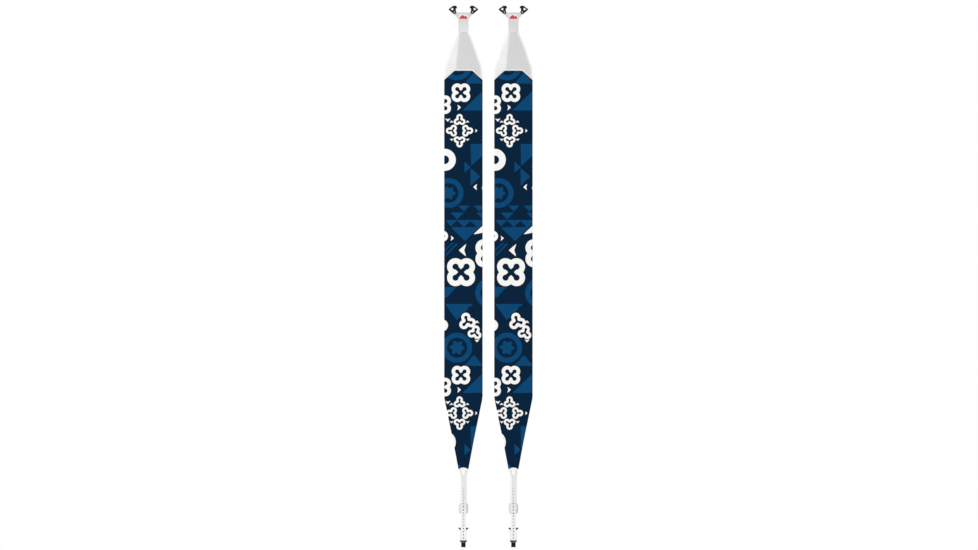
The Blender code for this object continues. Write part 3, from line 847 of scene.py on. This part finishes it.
def softened(name: str, node: str, width: float, form: Callable | None = None) -> Thing:
    """Copy a CAD node and round its edges.

    Args:
        name: the new piece's name.
        node: the CAD node's name.
        width: how far the rounding reaches, in millimetres.
        form: what moves each of its corners first, if anything does.

    Returns:
        The new piece.
    """
    mesh = bmesh.new()
    mesh.from_mesh(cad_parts[node].data)
    bmesh.ops.remove_doubles(mesh, verts=mesh.verts, dist=0.002 * MM)
    bmesh.ops.dissolve_limit(mesh, angle_limit=math.radians(0.6), verts=mesh.verts, edges=mesh.edges)
    for vert in mesh.verts if form else ():
        form(vert)
    data = bpy.data.meshes.new(name)
    mesh.to_mesh(data)
    mesh.free()
    return round_edges(make_object(name, data), width)


def plate(
    name: str,
    side: Side,
    outline: Sequence[Point],
    layer: Point,
    holes: Sequence[Sequence[Point]] = (),
    edge: float = 0.25,
) -> Thing:
    """Make a flat piece that faces the front, with rounded edges.

    Args:
        name: its name.
        side: the skin that it is on.
        outline: the points round it, as x and z.
        layer: its front and back.
        holes: the points round each hole.
        edge: how far its edges are rounded.

    Returns:
        The piece.
    """
    front, back = layer
    mesh = bmesh.new()
    edges = []
    for loop in (outline, *holes):
        seated = side.seat([(x, front, z) for x, z in loop])
        verts = [mesh.verts.new(p) for p in seated]
        edges += [mesh.edges.new((verts[i - 1], vert)) for i, vert in enumerate(verts)]
    bmesh.ops.triangle_fill(mesh, edges=edges, use_beauty=True)
    bmesh.ops.dissolve_limit(mesh, angle_limit=math.radians(1), verts=mesh.verts, edges=mesh.edges)
    grown = bmesh.ops.extrude_face_region(mesh, geom=mesh.faces[:])
    moved = [e for e in grown["geom"] if isinstance(e, bmesh.types.BMVert)]
    bmesh.ops.translate(mesh, vec=(0, (back - front) * MM, 0), verts=moved)
    bmesh.ops.recalc_face_normals(mesh, faces=mesh.faces)
    data = bpy.data.meshes.new(name)
    mesh.to_mesh(data)
    mesh.free()
    return round_edges(make_object(name, data), edge, 2)


def slab(name: str, side: Side, front: np.ndarray, back: np.ndarray, facts: dict | None = None) -> Thing:
    """Close a sheet with a thickness from the points of its two faces.

    Args:
        name: its name.
        side: the skin that it is on.
        front: the front face's points by row from the bottom and by column from the left.
        back: the back face's points, in the same order.
        facts: values to store on the points, by name, in the same order.

    Returns:
        The piece.
    """
    rows, columns, _ = front.shape
    size = rows * columns
    at = np.arange(size).reshape(rows, columns)
    a, b, c, d = at[:-1, :-1], at[:-1, 1:], at[1:, 1:], at[1:, :-1]
    faces = [np.stack([a, b, c, d], -1).reshape(-1, 4), np.stack([d, c, b, a], -1).reshape(-1, 4) + size]
    low, high, left, right = at[0], at[-1], at[:, 0], at[:, -1]
    faces.append(np.stack([low[:-1] + size, low[1:] + size, low[1:], low[:-1]], -1))
    faces.append(np.stack([high[:-1], high[1:], high[1:] + size, high[:-1] + size], -1))
    faces.append(np.stack([left[:-1] + size, left[:-1], left[1:], left[1:] + size], -1))
    faces.append(np.stack([right[:-1], right[:-1] + size, right[1:] + size, right[1:]], -1))
    points = side.seat(np.concatenate([front.reshape(-1, 3), back.reshape(-1, 3)]))
    data = bpy.data.meshes.new(name)
    data.from_pydata(points.tolist(), [], np.concatenate(faces).tolist())
    for key, values in (facts or {}).items():
        stored = data.attributes.new(key, "FLOAT", "POINT")
        stored.data.foreach_set("value", np.tile(values.reshape(-1), 2).astype(np.float32))
    data.shade_smooth()
    data.set_sharp_from_angle(angle=math.radians(50))
    return make_object(name, data)


def circle(centre: Point, radius: float, steps: int = 24) -> list[Point]:
    """The points of a circle."""
    turns = [2 * math.pi * i / steps for i in range(steps)]
    return [(centre[0] + radius * math.cos(t), centre[1] + radius * math.sin(t)) for t in turns]


def rounded_box(
    half_x: float, middle_z: float, half_z: float, radius: float, steps: int = 6
) -> list[Point]:
    """A rectangle with round corners, centred on the skin."""
    points = []
    for turn, (sx, sz) in enumerate(((1, 1), (-1, 1), (-1, -1), (1, -1))):
        for i in range(steps + 1):
            angle = math.radians(90 * (turn + i / steps))
            x = sx * (half_x - radius) + radius * math.cos(angle)
            z = middle_z + sz * (half_z - radius) + radius * math.sin(angle)
            points.append((x, z))
    return points


# What repeats


class Repeat(Enum):
    """The small shapes that follow a path."""

    STITCH = "stitch"
    RIM = "rim"


@dataclass(frozen=True)
class Row:
    """Small equal shapes along a path, made with Geometry Nodes.

    pitch is the distance from one to the next, long is each one's length or radius, and
    thick is its thread's radius or its rim's width.
    """

    kind: Repeat
    pitch: float
    long: float
    thick: float

    def tree(self, finish: Finish) -> Tree:
        """Build the node tree.

        Args:
            finish: what the shapes are made of.

        Returns:
            The tree, whose inputs are Pitch, Long and Thick.
        """
        tree = bpy.data.node_groups.new(f"{self.kind.value}_row", "GeometryNodeTree")
        tree.interface.new_socket(name="Geometry", in_out="INPUT", socket_type="NodeSocketGeometry")
        for name in ("Pitch", "Long", "Thick"):
            tree.interface.new_socket(name=name, in_out="INPUT", socket_type="NodeSocketFloat")
        tree.interface.new_socket(name="Geometry", in_out="OUTPUT", socket_type="NodeSocketGeometry")
        given = add(tree, "NodeGroupInput").outputs
        curve = add(tree, "GeometryNodeMeshToCurve", {"Mesh": given["Geometry"]})
        tangent = add(tree, "GeometryNodeInputTangent")
        along = add(tree, "FunctionNodeAlignRotationToVector", {"Vector": tangent}, axis="X")
        if self.kind is Repeat.STITCH:
            points = add(
                tree, "GeometryNodeResampleCurve", {"Curve": curve, "Length": given["Pitch"]}, mode="LENGTH"
            )
            bead = add(tree, "GeometryNodeMeshUVSphere", {"Segments": 6, "Rings": 5, "Radius": 1.0})
            half = add(tree, "ShaderNodeMath", {0: given["Long"], 1: 0.5}, operation="MULTIPLY")
            scale = add(tree, "ShaderNodeCombineXYZ", {0: half, 1: given["Thick"], 2: given["Thick"]})
            shape = add(tree, "GeometryNodeTransform", {"Geometry": bead, "Scale": scale})
            turn = along
        else:
            points = curve
            ring = add(
                tree,
                "GeometryNodeCurvePrimitiveCircle",
                {"Radius": given["Long"], "Resolution": 20},
            )
            section = add(
                tree, "GeometryNodeCurvePrimitiveCircle", {"Radius": given["Thick"], "Resolution": 6}
            )
            tube = add(tree, "GeometryNodeCurveToMesh", {"Curve": ring, "Profile Curve": section})
            quarter = (math.pi / 2, 0.0, 0.0)
            shape = add(tree, "GeometryNodeTransform", {"Geometry": tube, "Rotation": quarter})
            turn = None
        inputs = {"Points": points, "Instance": shape}
        if turn:
            inputs["Rotation"] = turn
        placed = add(tree, "GeometryNodeInstanceOnPoints", inputs)
        real = add(tree, "GeometryNodeRealizeInstances", {"Geometry": placed})
        smooth = add(tree, "GeometryNodeSetShadeSmooth", {"Geometry": real})
        done = add(tree, "GeometryNodeSetMaterial", {"Geometry": smooth, "Material": finish.material()})
        add(tree, "NodeGroupOutput", {0: done})
        return tree

    def make(self, name: str, side: Side, paths: Sequence[np.ndarray], finish: Finish) -> Thing:
        """Lay the shapes along some paths.

        Args:
            name: the piece's name.
            side: the skin that it is on.
            paths: each path's points.
            finish: what the shapes are made of.

        Returns:
            The piece, as a plain mesh.
        """
        points: list = []
        edges: list = []
        for path in paths:
            start = len(points)
            points += side.seat(path).tolist()
            edges += [(i, i + 1) for i in range(start, len(points) - 1)]
        data = bpy.data.meshes.new(name)
        data.from_pydata(points, edges, [])
        thing = make_object(name, data)
        modifier = thing.modifiers.new("row", "NODES")
        modifier.node_group = self.tree(finish)
        sizes = {"Pitch": self.pitch * MM, "Long": self.long * MM, "Thick": self.thick * MM}
        for item in modifier.node_group.interface.items_tree:
            if item.in_out == "INPUT" and item.name in sizes:
                modifier[item.identifier] = sizes[item.name]
        return settle(thing)


# The skin


@dataclass(frozen=True)
class SkinCut:
    """The outline that a skin's layers and its tip panel are cut to."""

    half: float = 65.0
    shoulder_z: float = 1581.8
    top_z: float = 1614.0
    top_half: float = 30.0
    corner_blend: float = 1.6
    flank: tuple = (
        (264.2, 16.8),
        (364.0, 35.5),
        (500.0, 63.6),
        (512.0, 65.0),
        (1614.0, 65.0),
        (1628.9, 62.1),
        (1650.2, 53.7),
        (1684.0, 43.2),
        (1744.7, 19.2),
    )
    tail_z: float = 264.2
    tail_rise: float = 6.8

    def half_at(self, z: np.ndarray) -> np.ndarray:
        """Half the skin's width at each height."""
        return np.interp(z, [p[0] for p in self.flank], [p[1] for p in self.flank])

    def shoulder_at(self, x: np.ndarray, offset: float) -> np.ndarray:
        """The height of the line that runs above the plush's top edge at an offset."""
        slope = (self.top_z - self.shoulder_z) / (self.half - self.top_half)
        side = self.shoulder_z + (self.half - np.abs(x)) * slope + offset * math.hypot(1.0, slope)
        top = self.top_z + offset
        k = self.corner_blend
        return -k * np.logaddexp(-top / k, -side / k)

    def tail_at(self, u: np.ndarray, rise: float) -> np.ndarray:
        """The height of the tail's arched end, at a share of half the width."""
        return self.tail_z + rise + self.tail_rise * (1 - u * u)


CUT = SkinCut()


@dataclass
class SubAssembly:
    """Pieces of one skin that go together."""

    side: Side

    def title(self, part: str) -> str:
        """A part's full name on this skin."""
        return f"{self.side.label}_{part}"

    def fit(self, thing: Thing, finish: Finish, body: str, *nodes: str) -> Thing:
        """Give a finished piece its material, its body and the CAD nodes that it stands for.

        Args:
            thing: the piece.
            finish: what it is made of.
            body: the body it moves with; where two are given, joined by a comma, it is attached to neither
                and its transform is baked in.
            nodes: the CAD nodes' names on a skin.

        Returns:
            The piece.
        """
        thing.data.materials.clear()
        thing.data.materials.append(finish.material())
        bodies = [self.title(b) for b in body.split(",")]
        if len(bodies) == 1:
            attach(thing, bodies[0])
        else:
            heights = (FOLD_Z + FOLD_REACH, FOLD_Z - FOLD_REACH)
            start, end = self.side.seat(np.array([(0.0, 0.0, z) for z in heights])).tolist()
            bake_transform(thing)
        if nodes:
            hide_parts(*[self.title(n) for n in nodes])
        LOG.info("%s: %s, %d faces", thing.name, finish.title, len(thing.data.polygons))
        return thing

    def note_x(self, thing: Thing) -> Thing:
        """Store how far each point of a piece lies from the skin's centre line, in millimetres."""
        places = np.empty(3 * len(thing.data.vertices), np.float32)
        thing.data.vertices.foreach_get("co", places)
        own = places.reshape(-1, 3)[:, 0] / MM - self.side.value * SKIN_PITCH / 2
        thing.data.attributes.new("own_x", "FLOAT", "POINT").data.foreach_set("value", own)
        return thing

    def dress_node(self, node: str, finish: Finish) -> None:
        """Give a CAD node that stays as it is its finish."""
        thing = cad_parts[self.title(node)]
        for holder in thing.material_slots:
            holder.material = finish.material()
        LOG.info("%s: %s, kept from the CAD", thing.name, finish.title)


@dataclass
class Fabric(SubAssembly):
    """The plush, its backing and the glue, each one strip from the tip to the tail."""

    plush: Point = (-1.9, -0.3)
    backing: Point = (0.0, 0.5)
    glue: Point = (0.8, 1.3)
    glue_top: float = 1600.0
    underlay_rise: float = 1.0
    row_step: float = 2.5
    fold_step: float = 1.25
    fold_rows: float = 20.0
    top_zone: float = 1560.0
    tail_zone: float = 330.0
    edge_round: float = 2.0
    edge_drop: float = 0.9
    wave: float = 0.6
    wave_length: float = 215.0
    wave_start: float = 0.9
    wave_slant: float = 0.004
    short_wave: float = 0.35
    short_length: float = 83.0
    short_slant: float = 0.02
    calm_top: float = 30.0
    calm_reach: float = 150.0

    def ripple(self, x: np.ndarray, z: np.ndarray) -> np.ndarray:
        """How far the hanging strip waves out of its plane, which is nothing at its ends."""
        below = np.clip((self.top_zone - self.calm_top - z) / self.calm_reach, 0, 1)
        above = np.clip((z - self.tail_zone) / self.calm_reach, 0, 1)
        calm = below * above
        phase = self.wave_start * self.side.value
        turn = 2 * math.pi * z
        long = np.sin(turn / self.wave_length + phase + self.wave_slant * x)
        short = self.short_wave * np.sin(turn / self.short_length + self.short_slant * x + phase)
        return self.wave * calm * (long + short)

    def levels(self, top: float, step: float) -> np.ndarray:
        """The heights of a layer's rows, closer near the fold height FOLD_Z."""
        plain = np.linspace(CUT.tail_z, top, round((top - CUT.tail_z) / step) + 1)
        near = np.arange(FOLD_Z - self.fold_rows, FOLD_Z + self.fold_rows + self.fold_step, self.fold_step)
        outside = plain[np.abs(plain - FOLD_Z) > self.fold_rows + self.fold_step]
        return np.sort(np.concatenate([outside, near]))

    def grid(
        self, levels: np.ndarray, u: np.ndarray, rise: float, top: Callable
    ) -> tuple[np.ndarray, np.ndarray]:
        """The places of a layer's points.

        Args:
            levels: its rows' heights at rest.
            u: its columns, as shares of half the width.
            rise: how much higher than the plush its tail ends.
            top: the height of its top edge at each x.

        Returns:
            x and z, by row and column.
        """
        level, share = np.meshgrid(levels, u, indexing="ij")
        z = level.copy()
        peak = top(CUT.half * share)
        lift = (level - self.top_zone) / (levels[-1] - self.top_zone)
        z = np.where(level > self.top_zone, self.top_zone + lift * (peak - self.top_zone), z)
        end = CUT.tail_at(share, rise)
        drop = (self.tail_zone - level) / (self.tail_zone - CUT.tail_z)
        z = np.where(level < self.tail_zone, self.tail_zone - drop * (self.tail_zone - end), z)
        return share * CUT.half_at(z), z

    def layer(
        self,
        name: str,
        span: Point,
        levels: np.ndarray,
        columns: int,
        rise: float,
        top: Callable,
        pile: bool,
    ) -> Thing:
        """Make one layer as a closed strip.

        Args:
            name: its name on a skin.
            span: its front and back.
            levels: its rows' heights.
            columns: how many columns it has.
            rise: how much higher than the plush its tail ends.
            top: the height of its top edge at each x.
            pile: whether its front is printed pile that rounds off at the edges.

        Returns:
            The layer.
        """
        inner = np.linspace(-1, 1, columns) * (1 - self.edge_round / CUT.half)
        near = 1 - 0.35 * self.edge_round / CUT.half
        u = np.concatenate([[-1, -near], inner, [near, 1]])
        x, z = self.grid(levels, u, rise, top)
        wave = self.ripple(x, z)
        drop = np.zeros_like(x)
        if pile:
            side = np.clip(1 - (1 - np.abs(u)) * CUT.half / self.edge_round, 0, 1)
            drop = self.edge_drop * np.broadcast_to(side**2, x.shape).copy()
            drop[0] = drop[-1] = self.edge_drop * 0.8
        front = np.stack([x, span[0] + wave + drop, z], -1)
        back = np.stack([x, span[1] + wave, z], -1)
        facts = Print().ink(x, z) if pile else None
        return slab(self.title(name), self.side, front, back, facts)

    def build(self) -> None:
        """Make and dress the three layers."""
        layers = {
            "plush": (self.plush, CUT.top_z, self.row_step, 52, 0.0, PLUSH),
            "backing": (self.backing, CUT.top_z, 5.0, 18, self.underlay_rise, BACKING),
            "glue": (self.glue, self.glue_top, 5.0, 18, self.underlay_rise, GLUE),
        }
        for name, (span, top_z, step, columns, rise, finish) in layers.items():
            if name == "plush":
                top = lambda x: CUT.shoulder_at(x, 0.0)
            else:
                top = lambda x, level=top_z: np.full_like(x, level)
            strip = self.layer(name, span, self.levels(top_z, step), columns, rise, top, name == "plush")
            self.fit(strip, finish, "upper,lower", f"{name}_upper", f"{name}_lower")
            self.title("panel_back")


@dataclass
class TipPanel(SubAssembly):
    """The white tip panel: two faces of coated fabric, an edge tape and a stiffener."""

    front: Point = (-1.0, -0.3)
    back: Point = (0.8, 1.3)
    back_foot: float = 1600.3
    tape: Point = (-1.2, -0.3)
    tape_width: float = 5.0
    crease: tuple = ((-13.0, 1742.0), (-24.0, 1630.0))
    crease_height: float = 1.7
    rib_pitch: float = 5.0
    rib_height: float = 0.12
    columns: int = 56
    row_step: float = 1.25

    def past_crease(self, x: np.ndarray, z: np.ndarray) -> np.ndarray:
        """How far each point lies to the right of the crease."""
        (x1, z1), (x0, z0) = self.crease
        lean = (x1 - x0) / (z1 - z0)
        return (x - x0 - (z - z0) * lean) / math.hypot(1.0, lean)

    def face(self, name: str, span: Point, foot: Callable, ribbed: bool) -> Thing:
        """Make one face of the panel.

        Args:
            name: its name on a skin.
            span: its front and back.
            foot: the height of its lower edge at each share of half the width.
            ribbed: whether it has the ribs and the crease.

        Returns:
            The face.
        """
        u = np.linspace(-1, 1, self.columns + 1)
        top = CUT.flank[-1][0]
        v = np.linspace(0, 1, round((top - CUT.shoulder_z) / self.row_step))
        share, rise = np.meshgrid(u, v)
        low = foot(share)
        z = low + rise * (top - low)
        x = share * CUT.half_at(z)
        beside = self.past_crease(x, z)
        lift = np.zeros_like(x)
        if ribbed:
            reach = np.where(beside < 0, x + CUT.half_at(z), CUT.half_at(z) - x)
            slope = np.clip(1 - np.abs(beside) / np.maximum(np.abs(beside) + reach, 1.0), 0, 1)
            calm = np.clip((z - 1622.0) / 30.0, 0, 1) * np.clip((top - z) / 25.0, 0.35, 1)
            ribs = self.rib_height * (0.5 + 0.5 * np.cos(2 * math.pi * z / self.rib_pitch))
            lift = self.crease_height * slope * calm + ribs
        front = np.stack([x, span[0] - lift, z], -1)
        back = np.stack([x, np.full_like(x, span[1]), z], -1)
        facts = {"past_crease": beside, "in_from_edge": CUT.half_at(z) - np.abs(x)}
        return slab(self.title(name), self.side, front, back, facts)

    def build(self) -> None:
        """Make and dress the panel's pieces."""
        hem = self.tape_width + 2 * GAP
        faces = {
            "panel_front": (self.front, lambda u: CUT.shoulder_at(CUT.half * u, hem), True),
            "panel_back": (self.back, lambda u: np.full_like(u, self.back_foot), False),
        }
        for name, (span, foot, ribbed) in faces.items():
            face = self.fit(self.face(name, span, foot, ribbed), COATED, "upper", f"tip_{name}")
            self.title("tip_stiffener")
        self.edge_tape()
        self.dress_node("tip_stiffener", WHITE)

    def edge_tape(self) -> None:
        """Make the tape that covers the seam between the panel and the plush, and its stitches."""
        offsets = np.linspace(GAP, GAP + self.tape_width, 8)
        x, offset = np.meshgrid(np.linspace(-CUT.half, CUT.half, 97), offsets)
        z = np.stack([CUT.shoulder_at(row, o) for row, o in zip(x, offsets)])
        dome = 0.4 * np.abs(2 * (offset - GAP) / self.tape_width - 1) ** 4
        front = np.stack([x, self.tape[0] + dome, z], -1)
        back = np.stack([x, np.full_like(x, self.tape[1]), z], -1)
        tape = slab(self.title("edge_tape"), self.side, front, back)
        self.fit(tape, TAPE, "upper", "tip_trim")
        self.title("panel_front")
        inset = 3.0
        across = np.linspace(-CUT.half + inset, CUT.half - inset, 120)
        rows = []
        for offset in (GAP + 1.3, GAP + self.tape_width - 1.3):
            height = CUT.shoulder_at(across, offset)
            rows.append(np.stack([across, np.full_like(across, self.tape[0] - 0.05), height], -1))
        row = Row(Repeat.STITCH, 3.4, 2.5, 0.22)
        stitches = row.make(self.title("tip_stitches"), self.side, rows, THREAD)
        self.fit(stitches, THREAD, "upper")


@dataclass
class TipTab(SubAssembly):
    """The moulded tab that carries the hooks, with its label."""

    label_half: Point = (14.5, 8.5)
    label_z: float = 1796.0
    label_layer: Point = (-2.3, -2.0)
    ink_layer: Point = (-2.5, -2.3)
    ridge: tuple = (
        (-12.6, -6.8),
        (12.6, -6.8),
        (12.6, -1.6),
        (7.6, 4.6),
        (4.0, 1.4),
        (-2.6, 7.0),
        (-12.6, -0.4),
    )

    def build(self) -> None:
        """Make and dress the tab, the label and its plain printed ridge."""
        tab = softened(self.title("tab"), self.title("tip_tab"), 1.1)
        self.fit(tab, TAB_WHITE, "upper", "tip_tab")
        outline = rounded_box(self.label_half[0], self.label_z, self.label_half[1], 2.0)
        label = plate(self.title("label"), self.side, outline, self.label_layer, edge=0.1)
        self.fit(label, LABEL, "upper", "tip_badge")
        points = [(x, self.label_z + z) for x, z in self.ridge]
        mark = plate(self.title("label_ridge"), self.side, points, self.ink_layer, edge=0.06)
        self.fit(mark, RED_INK, "upper")


@dataclass
class TipHook(SubAssembly):
    """One tip hook and the rivet that it swivels on."""

    rank: str = "inner"

    def build(self) -> None:
        """Make and dress the hook and its rivet."""
        for part, width, finish in (("tip_hook", 0.7, BLACK), ("hook_rivet", 0.22, STEEL)):
            node = f"{self.rank}_{part}"
            piece = softened(self.title(f"{part}_{self.rank}"), self.title(node), width)
            self.fit(piece, finish, f"{self.rank}_hook", node)


@dataclass
class TailStrap(SubAssembly):
    """The cap on the skin's tail, and the strap with the tape behind it."""

    half: float = 11.4
    low_half: float = 9.3
    step_z: float = 125.0
    layer: Point = (0.0, 1.4)
    hole_pitch: float = 10.5
    hole_count: int = 17
    lowest_hole: float = 32.5
    hole_radius: float = 2.5
    cap_rivet: Point = (9.8, 262.9)
    tape_half: float = 7.6
    tape_span: Point = (29.0, 236.0)
    tape_layer: Point = (1.7, 2.3)
    eyelet: float = 1.2

    def build(self) -> None:
        """Make and dress the cap, its rivets, the strap and its tape."""
        self.fit(softened(self.title("cap"), self.title("tail_cap"), 0.5), CREAM, "lower", "tail_cap")
        for rank in ("inner", "outer"):
            node = f"{rank}_cap_rivet"
            rivet = softened(self.title(f"cap_rivet_{rank}"), self.title(node), 0.2)
            self.fit(rivet, STEEL, "lower", node)
        rows = [self.lowest_hole + self.hole_pitch * i for i in range(self.hole_count)]
        self.strap(rows)
        # The grey of this tape, seen through the strap's holes, is painted shade in the holes.
        outline = [(s * self.tape_half, z) for s, z in zip((-1, 1, 1, -1), np.repeat(self.tape_span, 2))]
        eyelets = [circle((0, z), self.eyelet, 12) for z in rows]
        tape = plate(self.title("strap_tape"), self.side, outline, self.tape_layer, eyelets, 0.15)
        self.fit(tape, HOLE_SHADE_TAPE, "lower", "strap_webbing")
        self.title("strap")

    def strap(self, rows: list[float]) -> None:
        """Make the strap: its forked top, its round end, its holes and their moulded rims."""
        window = [(5.0, 265.0), (5.0, 258.0), (2.6, 247.6), (0.0, 245.0)]
        leg = [(14.5, 265.0), (14.5, 258.0), (self.half, 238.6), (self.half, self.step_z)]
        leg += [(self.low_half, self.step_z)]
        turns = np.linspace(0, math.pi, 17)
        end = [(self.low_half * math.cos(t), 26.4 - 2.6 * math.sin(t)) for t in turns]
        outline = window[::-1] + leg + end + [(-x, z) for x, z in reversed(leg)]
        outline += [(-x, z) for x, z in window[:-1]]
        holes = [circle((0, z), self.hole_radius) for z in rows]
        holes += [circle((s * self.cap_rivet[0], self.cap_rivet[1]), 1.3, 16) for s in (-1, 1)]
        strap = plate(self.title("strap"), self.side, outline, self.layer, holes, 0.3)
        self.fit(self.note_x(strap), STRAP, "lower", "tail_strap")
        path = np.array([(0.0, self.layer[0] + 0.05, z) for z in rows])
        row = Row(Repeat.RIM, self.hole_pitch, 3.0, 0.2)
        rims = row.make(self.title("strap_rims"), self.side, [path], CREAM)
        self.fit(rims, CREAM, "lower")


@dataclass
class Hardware(SubAssembly):
    """The cam buckle, the sliding clip and the tail hook."""

    lip_inner: float = 12.0
    lip_lean: float = 3.0

    def lean_lip(self, vert: bmesh.types.BMVert) -> None:
        """Lean the outer edge of a buckle's lip back, so that the lip is a crescent ramp."""
        across = abs(vert.co.x / MM - self.side.value * SKIN_PITCH / 2)
        if vert.co.y < 0 and across > self.lip_inner:
            vert.co.y += self.lip_lean * MM

    def build(self) -> None:
        """Make and dress every hard piece on the strap."""
        parts = (
            ("buckle_frame", 0.6, WHITE, "lower"),
            ("buckle_lever", 0.35, WHITE, "lever"),
            ("buckle_pin", 0.2, STEEL, "lower"),
            ("clip_plate", 0.35, BLACK, "clip"),
            ("clip_keeper", 0.6, CREAM, "clip"),
            ("tail_hook_pin", 0.2, STEEL, "clip"),
            ("tail_hook", 0.45, BLACK, "claw"),
        )
        for part, width, finish, body in parts:
            form = self.lean_lip if part == "buckle_frame" else None
            piece = softened(self.title(f"{part}_rounded"), self.title(part), width, form)
            self.fit(piece, finish, body, part)


# The studio


@dataclass
class Studio:
    """The pale floor, the soft light and the camera."""

    floor_z: float = -1.8215
    floor_half: float = 6.0
    lamp_size: float = 3.0
    lamps: tuple = (
        ("key", 80.0, (-3.6, -2.8, -0.5)),
        ("fill", 8.0, (3.2, -3.4, -0.9)),
        ("rear", 26.0, (1.5, 3.6, 0.2)),
    )
    view_width: float = 3.3105
    aim: tuple[float, float] = (0.002, -0.8976)
    distance: float = 4.0
    sky: float = 0.73

    def build(self) -> None:
        """Make the studio."""
        self.floor()
        self.world()
        for name, power, place in self.lamps:
            self.light(name, self.lamp_size, power, place)
        camera = bpy.data.objects.new("camera", bpy.data.cameras.new("camera"))
        bpy.context.scene.collection.objects.link(camera)
        camera.data.type = "ORTHO"
        camera.data.ortho_scale = self.view_width
        camera.location = (self.aim[0], -self.distance, self.aim[1])
        camera.rotation_euler = (math.pi / 2, 0.0, 0.0)
        camera.data.clip_end = 50.0
        bpy.context.scene.camera = camera
        bpy.context.scene.view_settings.view_transform = "Standard"

    def floor(self) -> None:
        """Lay the floor just below the tails."""
        h = self.floor_half
        data = bpy.data.meshes.new("floor")
        corners = [(x, y, self.floor_z) for x, y in ((-h, -h), (h, -h), (h, h), (-h, h))]
        data.from_pydata(corners, [], [(0, 1, 2, 3)])
        thing = make_object("floor", data)
        data.materials.append(FLOOR.material())

    def world(self) -> None:
        """Light the scene evenly from all round, in front of a white background."""
        world = bpy.data.worlds.new("studio")
        bpy.context.scene.world = world
        world.use_nodes = True
        tree = world.node_tree
        tree.nodes.clear()
        soft = add(tree, "ShaderNodeBackground", {"Color": srgb(PURE_WHITE), "Strength": self.sky})
        seen = add(tree, "ShaderNodeBackground", {"Color": srgb(PURE_WHITE), "Strength": 1.0})
        direct = add(tree, "ShaderNodeLightPath").outputs["Is Camera Ray"]
        both = add(tree, "ShaderNodeMixShader", {0: direct, 1: soft, 2: seen})
        add(tree, "ShaderNodeOutputWorld", {"Surface": both})

    def light(self, name: str, size: float, power: float, place: Place) -> None:
        """Add a soft square light that faces the middle of the pair.

        Args:
            name: its name.
            size: the length of its side in metres.
            power: its power in watts.
            place: where it stands.
        """
        lamp = bpy.data.lights.new(name, "AREA")
        lamp.size = size
        lamp.energy = power
        thing = bpy.data.objects.new(name, lamp)
        bpy.context.scene.collection.objects.link(thing)
        thing.visible_camera = False
        thing.location = place
        aim = Vector((0.0, 0.0, self.aim[1])) - Vector(place)
        thing.rotation_euler = aim.to_track_quat("-Z", "Y").to_euler()


def main() -> None:
    """Build both skins and the studio, in order."""
    logging.basicConfig(level=logging.INFO, format="%(message)s")
    for side in Side:
        TipPanel(side).build()
        Fabric(side).build()
        TipTab(side).build()
        for rank in ("inner", "outer"):
            TipHook(side, rank).build()
        TailStrap(side).build()
        Hardware(side).build()
    Studio().build()


if __name__ == "__main__":
    main()
